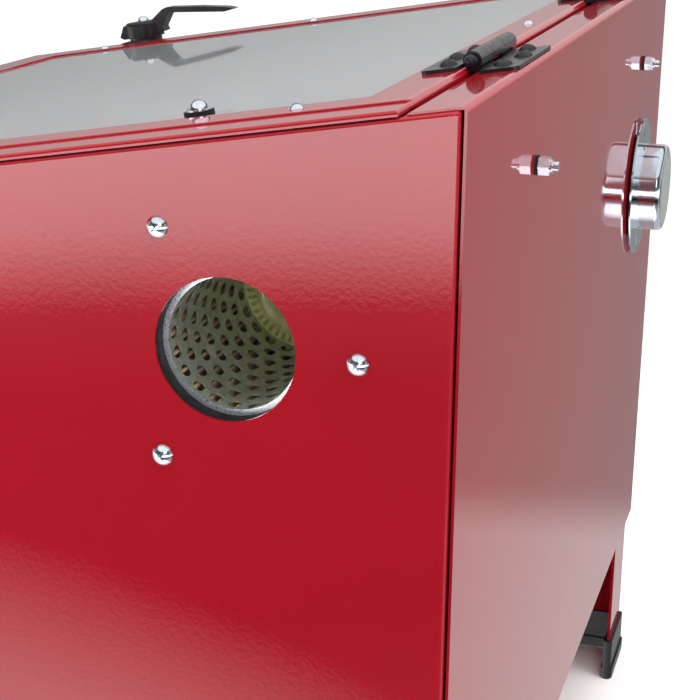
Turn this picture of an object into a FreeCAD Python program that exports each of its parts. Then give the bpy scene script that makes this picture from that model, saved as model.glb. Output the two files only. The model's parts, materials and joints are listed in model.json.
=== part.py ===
"""Bench-top abrasive blast cabinet, built as separate pieces in millimetres.

Axes: +X to the user's right, +Y to the back, +Z up. The origin is on the bench, under the cabinet's middle.
The top slopes down to the front, so everything on the lid is drawn flat in a "slope frame" and then tilted:
its x is the cabinet's X, its y runs up the slope and is zero at the back top edge, and its z is the height
above the fixed top strip.
"""
import FreeCAD, Part
import Sketcher
import math
import os
import re

V = FreeCAD.Vector
X, Y, Z = V(1, 0, 0), V(0, 1, 0), V(0, 0, 1)

doc = FreeCAD.newDocument("blast_cabinet")
sheet = doc.addObject("Spreadsheet::Sheet", "sizes")

SIZES = {
    # cabinet box
    "wide": 600, "deep": 488, "total_tall": 520, "leg_tall": 120, "back_y": 236.8, "slope": 9.64,
    "gauge": 1.2,
    "sheet_inset": 3.7, "back_step": 2.2, "front_step": 1.2, "side_flange": 20, "side_drop": 1.2,
    "side_bend": 3, "top_bend": 1.4,
    "bend_radius": 2, "strip_long": 23.5, "strip_lip": 12, "strip_bend": 3,
    # lid, in the slope frame
    "lid_wide": 600, "lid_back": 25.8, "lid_front": 497.5, "lid_flange_top": 1.7, "lid_lip_low": 0.6,
    "lid_raise": 0.8, "raised_wide": 553, "raised_front": 480, "lid_skirt_low": 8,
    "window_wide": 506, "window_back": 50.2, "window_front": 455.5,
    "pane_lap": 5, "pane_thick": 3, "stay_rubber": 2.2, "frame_lap": 8, "retainer_thick": 1.2,
    "gasket_wide": 9, "gasket_tall": 1.6, "gasket_inset": 8,
    # hinges, in the slope frame
    "hinge_x": 151, "leaf_shift": 8, "hinge_wide": 74, "barrel_long": 70, "axis_back": 24,
    "axis_high": 5, "barrel_radius": 4.2,
    "pin_radius": 2, "pin_play": 0.05, "leaf_thick": 1.6, "leaf_gap": 5, "knuckle_gap": 0.4,
    "fixed_leaf_back": 2, "lid_leaf_front": 45,
    # fasteners
    "shank": 2.4, "drill": 2.5, "pan_radius": 4.6, "pan_tall": 3.2, "black_radius": 4.3, "black_tall": 2.6,
    "small_radius": 3.6, "small_tall": 2, "small_shank": 1.9, "small_drill": 2, "nut_flat": 4, "nut_tall": 4,
    # latches
    "latch_x": 313.6, "latch_back": 406, "latch_half": 11.2, "latch_low": 3.7, "latch_top": 16,
    "post_radius": 2.5, "latch_bore": 2.58, "latch_bolt_radius": 4.7, "latch_bolt_tall": 3.6,
    "bracket_thick": 1.6, "bracket_reach": 27, "bracket_long": 32, "bracket_drop": 34,
    "keeper_top": 3, "nose_low": 4, "nose_reach": 18.8,
    # dust filter on the right side
    "filter_back": 94.8, "filter_down": 102.4, "filter_hole": 30, "filter_pitch": 55.35,
    "filter_gasket_thick": 8.5, "filter_plate": 1.4, "filter_bore": 28, "filter_outer": 46,
    "core_inner": 28.4, "core_wall": 0.8, "core_long": 87, "pleat_inner": 30, "pleat_outer": 44,
    "cap_thick": 8, "cage_radius": 48, "cage_thick": 2, "cage_wide": 14,
    # light and its bolts at the back
    "light_left": -192, "light_right": 159, "light_down": 47.7, "light_wide": 400, "light_deep": 34,
    "light_tall": 36, "light_wall": 1, "lens_thick": 2.5,
    # dust port on the back
    "port_x": -200, "port_down": 129.3, "port_flange": 44.5, "port_radius": 28.2, "port_long": 16.4,
    "port_gasket": 2, "port_plate": 1, "port_hole": 27.4, "port_bore": 24, "slot_radius": 37.5,
    "slot_long": 9, "slot_wide": 4.5,
    # legs, feet and hopper
    "angle": 50, "angle_thick": 2, "angle_top": 148, "angle_low": 4, "foot_tall": 31, "foot_pad_tall": 9,
    "foot_skin": 2.2, "foot_pad_skin": 3.5, "foot_over": 3,
    "hopper_rim": 152, "rim_tall": 10, "outlet_tall": 34, "outlet": 110, "outlet_flange": 150,
    "rail_long": 150, "gate_long": 140, "gate_thick": 2.9, "gate_play": 0.3,
    # grate
    "grate_low": 175, "grate_thick": 2, "grate_play": 5, "grate_pitch": 34, "grate_hole": 26,
    "shelf_wide": 20, "shelf_tall": 12.5,
    # arm ports and gloves
    "arm_x": 125, "arm_z": 262, "arm_bore": 75, "arm_wall": 3, "arm_flange": 91, "arm_flange_thick": 4,
    "arm_sleeve": 34, "glove_wall": 2,
    # blast gun, hung muzzle down on the left wall
    "gun_x": -258, "gun_back": 300, "gun_z": 320, "gun_radius": 15, "gun_long": 82, "nozzle_radius": 8,
    # left wall fittings
    "inlet_back": 60, "inlet_z": 200, "inlet_bore": 4.5, "gland_back": 60, "gland_z": 430,
    "switch_back": 360, "switch_z": 330, "rocker_pivot": 2, "rocker_wide": 12,
}
for row, (alias, value) in enumerate(SIZES.items(), start=1):
    sheet.set(f"A{row}", alias)
    sheet.set(f"B{row}", str(value))
    sheet.setAlias(f"B{row}", alias)
doc.recompute()

NODES = {}


# ---------------------------------------------------------------- helpers

def bound(text):
    """Turn names of cells in an expression into references to the sheet."""
    return re.sub(r"[a-z][a-z_]*", lambda m: "sizes." + m[0] if m[0] in SIZES else m[0], str(text))


def num(text):
    """The number that an expression has now."""
    return float(sheet.evalExpression(bound(text).replace("sizes.", "")))


def fresh(kind, name):
    return doc.addObject(kind, name)


def place(obj, at=(0, 0, 0), axis=None, angle=0):
    """Bind the place of obj to the sheet, after an optional fixed turn."""
    if axis is not None:
        obj.Placement = FreeCAD.Placement(V(), FreeCAD.Rotation(axis, angle))
    for letter, value in zip("xyz", at):
        obj.setExpression(".Placement.Base." + letter, bound(value))
    return obj


def block(name, size, at=(0, 0, 0)):
    box = fresh("Part::Box", name)
    for side, value in zip(("Length", "Width", "Height"), size):
        box.setExpression(side, bound(value))
    return place(box, at)


def centred(name, size, at):
    """A block whose bottom face is centred on at."""
    return block(name, size, (f"{at[0]} - ({size[0]}) / 2", f"{at[1]} - ({size[1]}) / 2", at[2]))


TURNS = {"z": (None, 0), "x": (Y, 90), "-x": (Y, -90), "y": (X, -90), "-y": (X, 90), "-z": (X, 180)}


def rod(name, radius, length, at=(0, 0, 0), along="z"):
    cylinder = fresh("Part::Cylinder", name)
    cylinder.setExpression("Radius", bound(radius))
    cylinder.setExpression("Height", bound(length))
    return place(cylinder, at, *TURNS[along])


def cone(name, low, high, length, at=(0, 0, 0), along="z"):
    shape = fresh("Part::Cone", name)
    shape.setExpression("Radius1", bound(low))
    shape.setExpression("Radius2", bound(high))
    shape.setExpression("Height", bound(length))
    return place(shape, at, *TURNS[along])


def ball(name, radius, at):
    sphere = fresh("Part::Sphere", name)
    sphere.setExpression("Radius", bound(radius))
    return place(sphere, at)


def hexagon(name, half_flat, length, at, along="z"):
    prism = fresh("Part::Prism", name)
    prism.Polygon = 6
    prism.setExpression("Circumradius", bound(f"({half_flat}) / cos(30)"))
    prism.setExpression("Height", bound(length))
    return place(prism, at, *TURNS[along])


def join(name, *shapes):
    fused = fresh("Part::MultiFuse", name)
    fused.Shapes = list(shapes)
    return fused


def group(name, *shapes):
    compound = fresh("Part::Compound", name)
    compound.Links = list(shapes)
    return compound


def common(name, one, two):
    both = fresh("Part::MultiCommon", name)
    both.Shapes = [one, two]
    return both


def cut(name, base, *tools):
    result = fresh("Part::Cut", name)
    result.Base = base
    result.Tool = tools[0] if len(tools) == 1 else join(name + "_tools", *tools)
    return result


def pipe(name, outer, inner, length, at=(0, 0, 0), along="z"):
    return cut(name, rod(name + "_out", outer, length, at, along),
               rod(name + "_in", inner, length, at, along))


def mirrored(name, source, normal=X, base=(0, 0, 0)):
    image = fresh("Part::Mirroring", name)
    image.Source = source
    image.Normal = normal
    for letter, value in zip("xyz", base):
        image.setExpression("Base." + letter, bound(value))
    return image


def node(name, obj, slope=False):
    """Keep obj as a piece of the cabinet, tilted onto the sloping top when it is drawn in the slope frame."""
    if slope:
        obj.Placement = FreeCAD.Placement(V(), FreeCAD.Rotation(X, 1))
        obj.setExpression(".Placement.Rotation.Angle", bound("slope"))
        obj.setExpression(".Placement.Base.y", bound("back_y"))
        obj.setExpression(".Placement.Base.z", bound("total_tall"))
    obj.Label = name
    NODES[name] = obj
    return obj


def profile(name, plane, points, length, midplane=True, offset=None):
    """A PartDesign body: a straight-sided outline in one of the origin planes, padded to a length."""
    body = fresh("PartDesign::Body", name)
    sketch = body.newObject("Sketcher::SketchObject", name + "_outline")
    origin_plane = [o for o in body.Origin.OriginFeatures if o.Role == plane][0]
    sketch.AttachmentSupport = [(origin_plane, "")]
    sketch.MapMode = "FlatFace"
    if offset:
        sketch.setExpression(".AttachmentOffset.Base.z", bound(offset))
    corners = [(num(a), num(b)) for a, b in points]
    for start, end in zip(corners, corners[1:] + corners[:1]):
        sketch.addGeometry(Part.LineSegment(V(*start, 0), V(*end, 0)), False)
    for i in range(len(points)):
        sketch.addConstraint(Sketcher.Constraint("Coincident", i, 2, (i + 1) % len(points), 1))
    for i, (corner, exact) in enumerate(zip(corners, points)):
        for kind, value, text in zip(("DistanceX", "DistanceY"), corner, exact):
            index = sketch.addConstraint(Sketcher.Constraint(kind, -1, 1, i, 1, value))
            sketch.setExpression(f"Constraints[{index}]", bound(text))
    pad = body.newObject("PartDesign::Pad", name + "_pad")
    pad.Profile = sketch
    pad.setExpression("Length", bound(length))
    pad.Midplane = midplane
    body.Tip = pad
    doc.recompute()
    return body


def edges_where(shape, test):
    return [f"Edge{i}" for i, edge in enumerate(shape.Edges, start=1) if test(edge)]


def runs_along(edge, direction):
    if not isinstance(edge.Curve, Part.Line):
        return False
    return abs(edge.Curve.Direction.dot(direction)) > 0.999


def rounded(body, radius, test):
    """Add a fillet to the body's edges that pass the test."""
    last = body.Tip
    fillet = body.newObject("PartDesign::Fillet", body.Name + "_round")
    fillet.Base = (last, edges_where(last.Shape, test))
    fillet.setExpression("Radius", bound(radius))
    body.Tip = fillet
    doc.recompute()
    return body


def softened(name, base, radius, test):
    """A Part fillet on the edges of base that pass the test."""
    doc.recompute()
    fillet = fresh("Part::Fillet", name)
    fillet.Base = base
    size = num(radius)
    fillet.Edges = [(int(edge[4:]), size, size) for edge in edges_where(base.Shape, test)]
    return fillet


def dome(name, radius, height, at, along="z"):
    """A screw's domed head: the cap of a large ball."""
    ball_radius = f"(({radius}) ^ 2 + ({height}) ^ 2) / (2 * ({height}))"
    steps = {"z": (0, 0, 1), "x": (1, 0, 0), "-x": (-1, 0, 0), "y": (0, 1, 0), "-y": (0, -1, 0),
             "-z": (0, 0, -1)}
    rise = f"(({height}) - {ball_radius})"
    centre = tuple(f"{a} + {s} * {rise}" for a, s in zip(at, steps[along]))
    return common(name, ball(name + "_ball", ball_radius, centre),
                  rod(name + "_disc", radius, height, at, along))


def cross(name, at, along, reach="1.9", deep="1.8", wide="0.8"):
    """The tool for a cross recess, sunk from at against the direction along and turned by an eighth."""
    sizes = ((f"2 * {reach}", wide, deep), (wide, f"2 * {reach}", deep))
    blades = [centred(f"{name}_blade_{i}", size, (0, 0, f"-{deep}")) for i, size in enumerate(sizes)]
    plus = place(join(name + "_plus", *blades), (0, 0, 0), Z, 45)
    return place(group(name, plus), at, *TURNS[along])


# ---------------------------------------------------------------- places worked out from the sizes

FRONT_Y = "(back_y - deep)"
MID_Y = "(back_y - deep / 2)"
WALL_IN = "(wide / 2 - gauge)"
LID_UNDER = "(lid_flange_top + lid_raise - gauge)"
PANE_LOW = f"({LID_UNDER} - pane_thick)"
FILTER_Y = "(back_y - filter_back)"
FILTER_Z = "(total_tall - filter_down)"
LIGHT_Z = "(total_tall - light_down)"
PORT_Z = "(total_tall - port_down)"


def slope_z(y, drop=0):
    """Height, in the cabinet frame, of a line parallel to the slope, a distance below the top strip."""
    return f"(total_tall + (({y}) - back_y) * tan(slope) - ({drop}) / cos(slope))"


# ---------------------------------------------------------------- cabinet sheets

def side_panel():
    """Right side: a folded pan, open towards the inside and at the bottom."""
    back = "back_y - back_step"
    front = f"{FRONT_Y} + front_step"
    outline = [(back, "leg_tall"), (back, slope_z(back, "side_drop")),
               (front, slope_z(front, "side_drop")), (front, "leg_tall")]
    body = profile("side_pan", "YZ_Plane", outline, "side_flange", False, "wide / 2 - side_flange")
    outer = num("wide / 2")
    rounded(body, "side_bend", lambda e: runs_along(e, Z) and all(abs(v.X - outer) < 0.01 for v in e.Vertexes))
    rounded(body, "top_bend", lambda e: all(abs(v.X - outer) < 0.01 for v in e.Vertexes)
            and e.CenterOfMass.z > num("leg_tall") + 1 and not runs_along(e, Z))
    last = body.Tip
    shell = body.newObject("PartDesign::Thickness", "side_pan_shell")
    inside, bottom = num("wide / 2 - side_flange"), num("leg_tall")
    faces = [f"Face{i}" for i, f in enumerate(last.Shape.Faces, start=1)
             if abs(f.CenterOfMass.x - inside) < 0.01 or abs(f.CenterOfMass.z - bottom) < 0.01]
    shell.Base = (last, faces)
    shell.setExpression("Value", bound("gauge"))
    shell.Mode = 0
    shell.Join = 0
    shell.Reversed = True
    body.Tip = shell
    doc.recompute()
    return body


right_pan = side_panel()
left_pan = mirrored("left_pan", right_pan)


def filter_ring_points():
    """The three screws round the filter hole: one towards the back, the others a third of a turn away."""
    for angle in (0, 120, 240):
        yield f"{FILTER_Y} + filter_pitch * cos({angle})", f"{FILTER_Z} + filter_pitch * sin({angle})"


filter_drills = [rod(f"filter_drill_{i}", "drill", 10, ("wide / 2 - 5", y, z), "x")
                 for i, (y, z) in enumerate(filter_ring_points())]
BRACKET_TOP = "-(latch_low + 0.3)"


def tilted(name, shapes):
    """Tools that are drawn in the slope frame, moved to the cabinet frame."""
    tool = group(name, *shapes)
    tool.Placement = FreeCAD.Placement(V(), FreeCAD.Rotation(X, 1))
    tool.setExpression(".Placement.Rotation.Angle", bound("slope"))
    tool.setExpression(".Placement.Base.y", bound("back_y"))
    tool.setExpression(".Placement.Base.z", bound("total_tall"))
    return tool


def bracket_points():
    """The two screws of a latch bracket: distance up the slope and height."""
    for step in (-9, 9):
        yield f"{step} - latch_back", f"{BRACKET_TOP} - bracket_drop * 0.6"


def bracket_drills(name, side):
    """Holes in a side panel for a latch bracket's screws."""
    return tilted(name, [rod(f"{name}_{i}", "drill", 12, (f"{side} * wide / 2 - 6", y, z), "x")
                         for i, (y, z) in enumerate(bracket_points())])


filter_opening = rod("filter_opening", "filter_hole", 10, ("wide / 2 - 5", FILTER_Y, FILTER_Z), "x")
node("side_panel_right", cut("side_right_cut", right_pan, filter_opening, *filter_drills,
                             bracket_drills("right_bracket_drill", 1)))

INLET_Y, GLAND_Y, SWITCH_Y = "(back_y - inlet_back)", "(back_y - gland_back)", "(back_y - switch_back)"
left_tools = [
    rod("inlet_opening", "7.1", 10, ("-wide / 2 - 5", INLET_Y, "inlet_z"), "x"),
    rod("gland_opening", "8.1", 10, ("-wide / 2 - 5", GLAND_Y, "gland_z"), "x"),
    block("switch_opening", (10, "19.2", "28.2"), ("-wide / 2 - 5", f"{SWITCH_Y} - 9.6", "switch_z - 14.1")),
    bracket_drills("left_bracket_drill", -1)]
node("side_panel_left", cut("side_left_cut", left_pan, *left_tools))


def rear_sheet():
    """Back panel and fixed top strip, folded from one sheet, with a stiffening lip in front of the strip."""
    sin, cos = "sin(slope)", "cos(slope)"

    def on_strip(along, above):
        return (f"back_y - ({along}) * {cos} - ({above}) * {sin}",
                f"total_tall - ({along}) * {sin} + ({above}) * {cos}")

    inner_y = "back_y - gauge"
    outline = [("back_y", "leg_tall"), ("back_y", "total_tall"), on_strip("strip_long", 0),
               on_strip("strip_long", "-strip_lip"), on_strip("strip_long - gauge", "-strip_lip"),
               on_strip("strip_long - gauge", "-gauge"), (inner_y, slope_z(inner_y, "gauge")),
               (inner_y, "leg_tall")]
    body = profile("rear_fold", "YZ_Plane", outline, "wide - 2 * sheet_inset")
    top, strip_y = num("total_tall"), num(on_strip("strip_long", 0)[0])
    rounded(body, "strip_bend", lambda e: runs_along(e, X) and abs(e.CenterOfMass.z - top) < 0.01)
    rounded(body, "strip_bend / 2", lambda e: runs_along(e, X) and abs(e.CenterOfMass.y - strip_y) < 0.01
            and e.CenterOfMass.z > top - 8)
    return body


HINGE_SIDES = (1, -1)
SCREW_STEPS = (-26, 0, 26)


def hinge_screw_points(side, inner, middle):
    """Screw places on one leaf of a hinge: the middle one stands further from the barrel."""
    for step in SCREW_STEPS:
        yield f"{side} * (hinge_x + leaf_shift - 2) + {step}", f"-({middle if step == 0 else inner})"


def fixed_screw_points():
    for side in HINGE_SIDES:
        yield from hinge_screw_points(side, 11.5, 8)


def lid_screw_points():
    for side in HINGE_SIDES:
        yield from hinge_screw_points(side, 35.5, 38)


def slope_drills(name, points, radius="drill", low=-8, long=16):
    return [rod(f"{name}_{i}", radius, long, (x, y, low)) for i, (x, y) in enumerate(points)]


LIGHT_XS = ("light_left", "light_right")
rear_tools = [rod("port_opening", "port_hole", 10, ("port_x", "back_y - 5", PORT_Z), "y")]
rear_tools += [rod(f"light_drill_{i}", "drill", 10, (x, "back_y - 5", LIGHT_Z), "y") for i,
               x in enumerate(LIGHT_XS)]
rear_tools += [tilted("strip_drills", slope_drills("strip_drill", fixed_screw_points()))]
lip_notch = block("lip_notch", ("side_flange + 1", "gauge + 1", "strip_lip"),
                  ("wide / 2 - side_flange - 0.5", "-strip_long - 0.9", "-strip_lip - gauge - 0.01"))
rear_tools += [tilted("lip_notches", [lip_notch, mirrored("lip_notch_left", lip_notch)])]
node("rear_sheet", cut("rear_cut", rear_sheet(), *rear_tools))


def front_panel():
    top_y = f"{FRONT_Y} + gauge"
    lip = "14"
    outline = [(FRONT_Y, "leg_tall"), (FRONT_Y, slope_z(FRONT_Y, "side_drop + 0.3")),
               (f"{FRONT_Y} + {lip}", slope_z(f"{FRONT_Y} + {lip}", "side_drop + 0.3")),
               (f"{FRONT_Y} + {lip}", slope_z(f"{FRONT_Y} + {lip}", "side_drop + 0.3 + gauge")),
               (top_y, slope_z(top_y, "side_drop + 0.3 + gauge")), (top_y, "leg_tall")]
    body = profile("front_fold", "YZ_Plane", outline, "wide - 2 * side_flange - 0.6")
    front = num(FRONT_Y)
    rounded(body, "bend_radius", lambda e: runs_along(e, X) and abs(e.CenterOfMass.y - front) < 0.01
            and e.CenterOfMass.z > num("leg_tall") + 5)
    ends = block("front_ends", ("wide - 2 * sheet_inset", "gauge",
                                f"{slope_z(FRONT_Y, 'side_drop + 4')} - leg_tall"),
                 ("sheet_inset - wide / 2", FRONT_Y, "leg_tall"))
    holes = [rod(f"arm_opening_{i}", "arm_bore + arm_wall + 0.2", 10,
                 (f"{s} * arm_x", f"{FRONT_Y} - 5", "arm_z"), "y")
             for i, s in enumerate((1, -1))]
    return cut("front_cut", join("front_whole", body, ends), *holes)


node("front_panel", front_panel())


# ---------------------------------------------------------------- hopper, gate, legs, feet, grate

FLANGE_LOW = "(outlet_tall - 1.5)"
GATE_LOW = f"({FLANGE_LOW} - gate_play - gate_thick)"
RAIL_LOW = f"({GATE_LOW} - gate_play - 1.5)"


def gate_rails():
    """Two folded rails under the outlet's flange, welded to it."""
    web = block("rail_web", (1.5, "rail_long", f"{FLANGE_LOW} - {RAIL_LOW}"),
                ("outlet_flange / 2 - 1.5", f"{MID_Y} - rail_long / 2", RAIL_LOW))
    lip = block("rail_lip", (10, "rail_long", 1.5),
                ("outlet_flange / 2 - 10", f"{MID_Y} - rail_long / 2", RAIL_LOW))
    right_rail = join("right_rail", web, lip)
    return right_rail, mirrored("left_rail", right_rail)


HOPPER_X, HOPPER_Y = f"({WALL_IN} - 0.1)", "(deep / 2 - 5.4)"


def hopper_wall(name, top_x, top_y, low_x, low_y):
    """A sloping wall between the rim and the outlet: the spans in x and y of its top and of its foot."""
    wedge = fresh("Part::Wedge", name)
    values = {"Xmin": top_x[0], "Xmax": top_x[1], "Zmin": top_y[0], "Zmax": top_y[1], "Ymin": 0,
              "Ymax": "hopper_rim - outlet_tall", "X2min": low_x[0], "X2max": low_x[1], "Z2min": low_y[0],
              "Z2max": low_y[1]}
    for key, value in values.items():
        wedge.setExpression(key, bound(value))
    return place(wedge, (0, MID_Y, "hopper_rim"), X, -90)


def hopper_walls():
    """Two full walls at the sides, with the front and back walls welded between them."""
    across, along = (f"-{HOPPER_Y}", HOPPER_Y), ("-outlet / 2", "outlet / 2")
    side = hopper_wall("hopper_side", (f"{HOPPER_X} - 2.4", HOPPER_X), across,
                       ("outlet / 2 - 2.4", "outlet / 2"), along)
    between, narrow = (f"2.4 - {HOPPER_X}", f"{HOPPER_X} - 2.4"), ("2.4 - outlet / 2", "outlet / 2 - 2.4")
    end = hopper_wall("hopper_end", between, (f"{HOPPER_Y} - 2.4", HOPPER_Y), narrow,
                      ("outlet / 2 - 2.4", "outlet / 2"))
    return side, mirrored("hopper_side_left", side), end, mirrored("hopper_end_other", end, Y, (0, MID_Y, 0))


def square_ring(name, half_x, half_y, wall, low, tall):
    """Four flat bars round a rectangle: two full ones at the sides and two between them."""
    side = block(name + "_side", (wall, f"2 * ({half_y})", tall),
                 (f"{half_x} - {wall}", f"{MID_Y} - ({half_y})", low))
    end = block(name + "_end", (f"2 * ({half_x} - {wall})", wall, tall),
                (f"{wall} - ({half_x})", f"{MID_Y} + {half_y} - {wall}", low))
    return side, mirrored(name + "_side_left", side), end, mirrored(name + "_end_other", end,
                                                                    Y, (0, MID_Y, 0))


def hopper():
    """Sand hopper: an upright rim, four sloping walls and a flanged outlet with rails for the gate."""
    rim = square_ring("hopper_rim_bar", HOPPER_X, HOPPER_Y, "gauge", "hopper_rim", "rim_tall")
    flange = square_ring("hopper_flange_bar", "outlet_flange / 2", "outlet_flange / 2",
                         "(outlet_flange - outlet) / 2 + 2.4",
                         FLANGE_LOW, 1.5)
    return group("hopper_whole", *hopper_walls(), *rim, *flange, *gate_rails())


node("hopper", hopper())

gate_plate = centred("gate_plate", ("outlet_flange - 3.6", "gate_long", "gate_thick"),
                     (0, f"{MID_Y} - 10", GATE_LOW))
gate_grip = centred("gate_grip", (80, "gate_thick", 18),
                    (0, f"{MID_Y} - 10 - gate_long / 2 - 4", f"{GATE_LOW} - 15.1"))
gate_neck = centred("gate_neck", (80, 10, "gate_thick"), (0, f"{MID_Y} - 10 - gate_long / 2 - 1", GATE_LOW))
gate_solid = join("gate_whole", gate_plate, gate_grip, gate_neck)
gate_slot = rod("gate_slot", 4, 30, (0, f"{MID_Y} - gate_long / 2 - 30", f"{GATE_LOW} - 8"), "y")
node("cleanout_gate", cut("gate_cut", gate_solid, gate_slot))

LEG_X = f"({WALL_IN} - 0.2)"
LEG_Y = "(back_y - sheet_inset)"


def leg_blank():
    """Back right leg: an angle with both flanges tapered in a little towards the foot."""
    corner = block("leg_corner", ("angle", "angle", "angle_top - angle_low"),
                   (f"{LEG_X} - angle", f"{LEG_Y} - angle", "angle_low"))
    hollow = block("leg_hollow", ("angle", "angle", "angle_top - angle_low"),
                   (f"{LEG_X} - angle - angle_thick", f"{LEG_Y} - angle - angle_thick", "angle_low"))
    return softened("leg_bent", cut("leg_sharp", corner, hollow), "bend_radius",
                    lambda e: runs_along(e, Z) and e.CenterOfMass.x > num(LEG_X) - 0.01
                    and e.CenterOfMass.y > num(LEG_Y) - 0.01)


def foot_blank():
    """Back right foot: an L-shaped channel pushed onto the leg, with a wider pad under it."""
    def corner_solid(name, skin, tall, radius):
        across = f"angle + foot_over + {skin}"
        outer = block(name + "_out", (across, across, tall),
                      (f"{LEG_X} - angle - foot_over", f"{LEG_Y} - angle - foot_over", 0))
        inner = block(name + "_in", (across, across, tall),
                      (f"{LEG_X} - angle - foot_over - angle_thick - 2 * {skin}",
                       f"{LEG_Y} - angle - foot_over - angle_thick - 2 * {skin}", 0))
        sharp = cut(name + "_sharp", outer, inner)
        return softened(name, sharp, radius, lambda e: runs_along(e, Z))

    upper = corner_solid("foot_channel", "foot_skin", "foot_tall", 2.5)
    pad = corner_solid("foot_pad", "foot_pad_skin", "foot_pad_tall", 3.5)
    pad_round = softened("foot_pad_round", pad, 1.5, lambda e: abs(e.CenterOfMass.z) < 0.01)
    leg_space = cut("foot_slot", block("slot_out", ("angle", "angle", "foot_tall"),
                                       (f"{LEG_X} - angle", f"{LEG_Y} - angle", "angle_low")),
                    block("slot_in", ("angle", "angle", "foot_tall"),
                          (f"{LEG_X} - angle - angle_thick", f"{LEG_Y} - angle - angle_thick", "angle_low")))
    return cut("foot_whole", join("foot_solid", upper, pad_round), leg_space)


def at_all_corners(name, right):
    """The same piece at the four corners of the cabinet."""
    left = mirrored(name + "_back_left", right)
    fronts = [mirrored(f"{name}_front_{word}", piece, Y, (0, MID_Y, 0)) for word,
              piece in (("right", right), ("left", left))]
    return group(name + "_set", right, left, *fronts)


node("legs", at_all_corners("leg", leg_blank()))
node("feet", at_all_corners("foot", foot_blank()))

shelf_long = "(deep - 2 * side_flange - 20)"
shelf_at = (f"{WALL_IN} - shelf_wide", f"{MID_Y} - {shelf_long} / 2")
shelf_top = block("shelf_top", ("shelf_wide", shelf_long, 1.5), (*shelf_at, "grate_low - 1.5"))
shelf_web = block("shelf_web", (1.5, shelf_long, "shelf_tall"),
                  (f"{WALL_IN} - 1.5", shelf_at[1], "grate_low - shelf_tall"))
right_shelf = join("right_shelf", shelf_top, shelf_web)
node("grate_shelves", group("shelf_pair", right_shelf, mirrored("left_shelf", right_shelf)))


def work_grate():
    """Punched plate: a grid of square holes, made as rows of slots joined by a grid of bars."""
    wide, deep = f"2 * ({WALL_IN} - grate_play)", "deep - 2 * gauge - 2 * grate_play"
    columns, rows = 16, 13
    plate = centred("grate_plate", (wide, deep, "grate_thick"), (0, MID_Y, "grate_low"))
    punches = []
    for i in range(columns):
        for j in range(rows):
            at = (f"({i} - {(columns - 1) / 2}) * grate_pitch",
                  f"{MID_Y} + ({j} - {(rows - 1) / 2}) * grate_pitch",
                  "grate_low - 1")
            punches.append(centred(f"punch_{i}_{j}", ("grate_hole", "grate_hole", "grate_thick + 2"), at))
    return cut("grate_cut", plate, group("grate_punches", *punches))


node("work_grate", work_grate())


# ---------------------------------------------------------------- lid, in the slope frame

def slope_box(name, wide, back, front, low, high):
    """A block centred on x = 0, between two distances down the slope and two heights."""
    return block(name, (wide, f"({front}) - ({back})", f"({high}) - ({low})"),
                 (f"-({wide}) / 2", f"-({front})", low))


def slope_ring(name, outer, inner):
    return cut(name, slope_box(name + "_out", *outer), slope_box(name + "_in", *inner))


RAISED_TOP = "(lid_flange_top + lid_raise)"
FRAME_X = "(window_wide / 2 + frame_lap + 2.5)"


def frame_screw_points():
    """The small screws round the window: three on each side, one at the back and one at the front."""
    for side in (1, -1):
        for down in (78, 250, 418):
            yield f"{side} * {FRAME_X}", f"-{down}"
    yield 0, "-38"
    yield 0, "-468"


STAY = (240, -130)


def lid_frame():
    wall = "gauge"
    flange = slope_box("lid_flange", "lid_wide", "lid_back", "lid_front", "-lid_lip_low", "lid_flange_top")
    flange_round = softened("lid_flange_round", flange, 1.45,
                            lambda e: e.CenterOfMass.z > num("lid_flange_top") - 0.01
                            or (runs_along(e, Z) and e.CenterOfMass.y < -100))
    raised = slope_box("lid_raised", "raised_wide", "lid_back", "raised_front", "-lid_skirt_low", RAISED_TOP)
    raised_round = softened("lid_raised_round", raised, 0.7,
                            lambda e: e.CenterOfMass.z > num(RAISED_TOP) - 0.01 and e.CenterOfMass.y < -30)
    raised_back = softened("lid_raised_back", raised_round, 3,
                           lambda e: runs_along(e, X) and e.CenterOfMass.z > num(RAISED_TOP) - 0.01
                           and e.CenterOfMass.y > -30)
    hollow = slope_box("lid_hollow", f"lid_wide - 2 * {wall}", f"lid_back + {wall}", f"lid_front - {wall}",
                       "-lid_lip_low", f"lid_flange_top - {wall}")
    deep_hollow = slope_box("lid_deep_hollow", f"raised_wide - 2 * {wall}", f"lid_back + {wall}",
                            f"raised_front - {wall}",
                            "-lid_skirt_low", LID_UNDER)
    below = slope_box("lid_below", "lid_wide", f"lid_back + {wall}", "lid_front", "-lid_skirt_low",
                      "-lid_lip_low")
    window = slope_box("lid_window", "window_wide", "window_back", "window_front", -2, 4)
    drills = slope_drills("lid_drill", lid_screw_points()) \
        + slope_drills("lid_frame_drill", frame_screw_points(), "small_drill")
    return cut("lid_cut", join("lid_outside", flange_round, raised_back), hollow, deep_hollow,
               below, window, *drills)


node("lid_frame", lid_frame(), slope=True)

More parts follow.
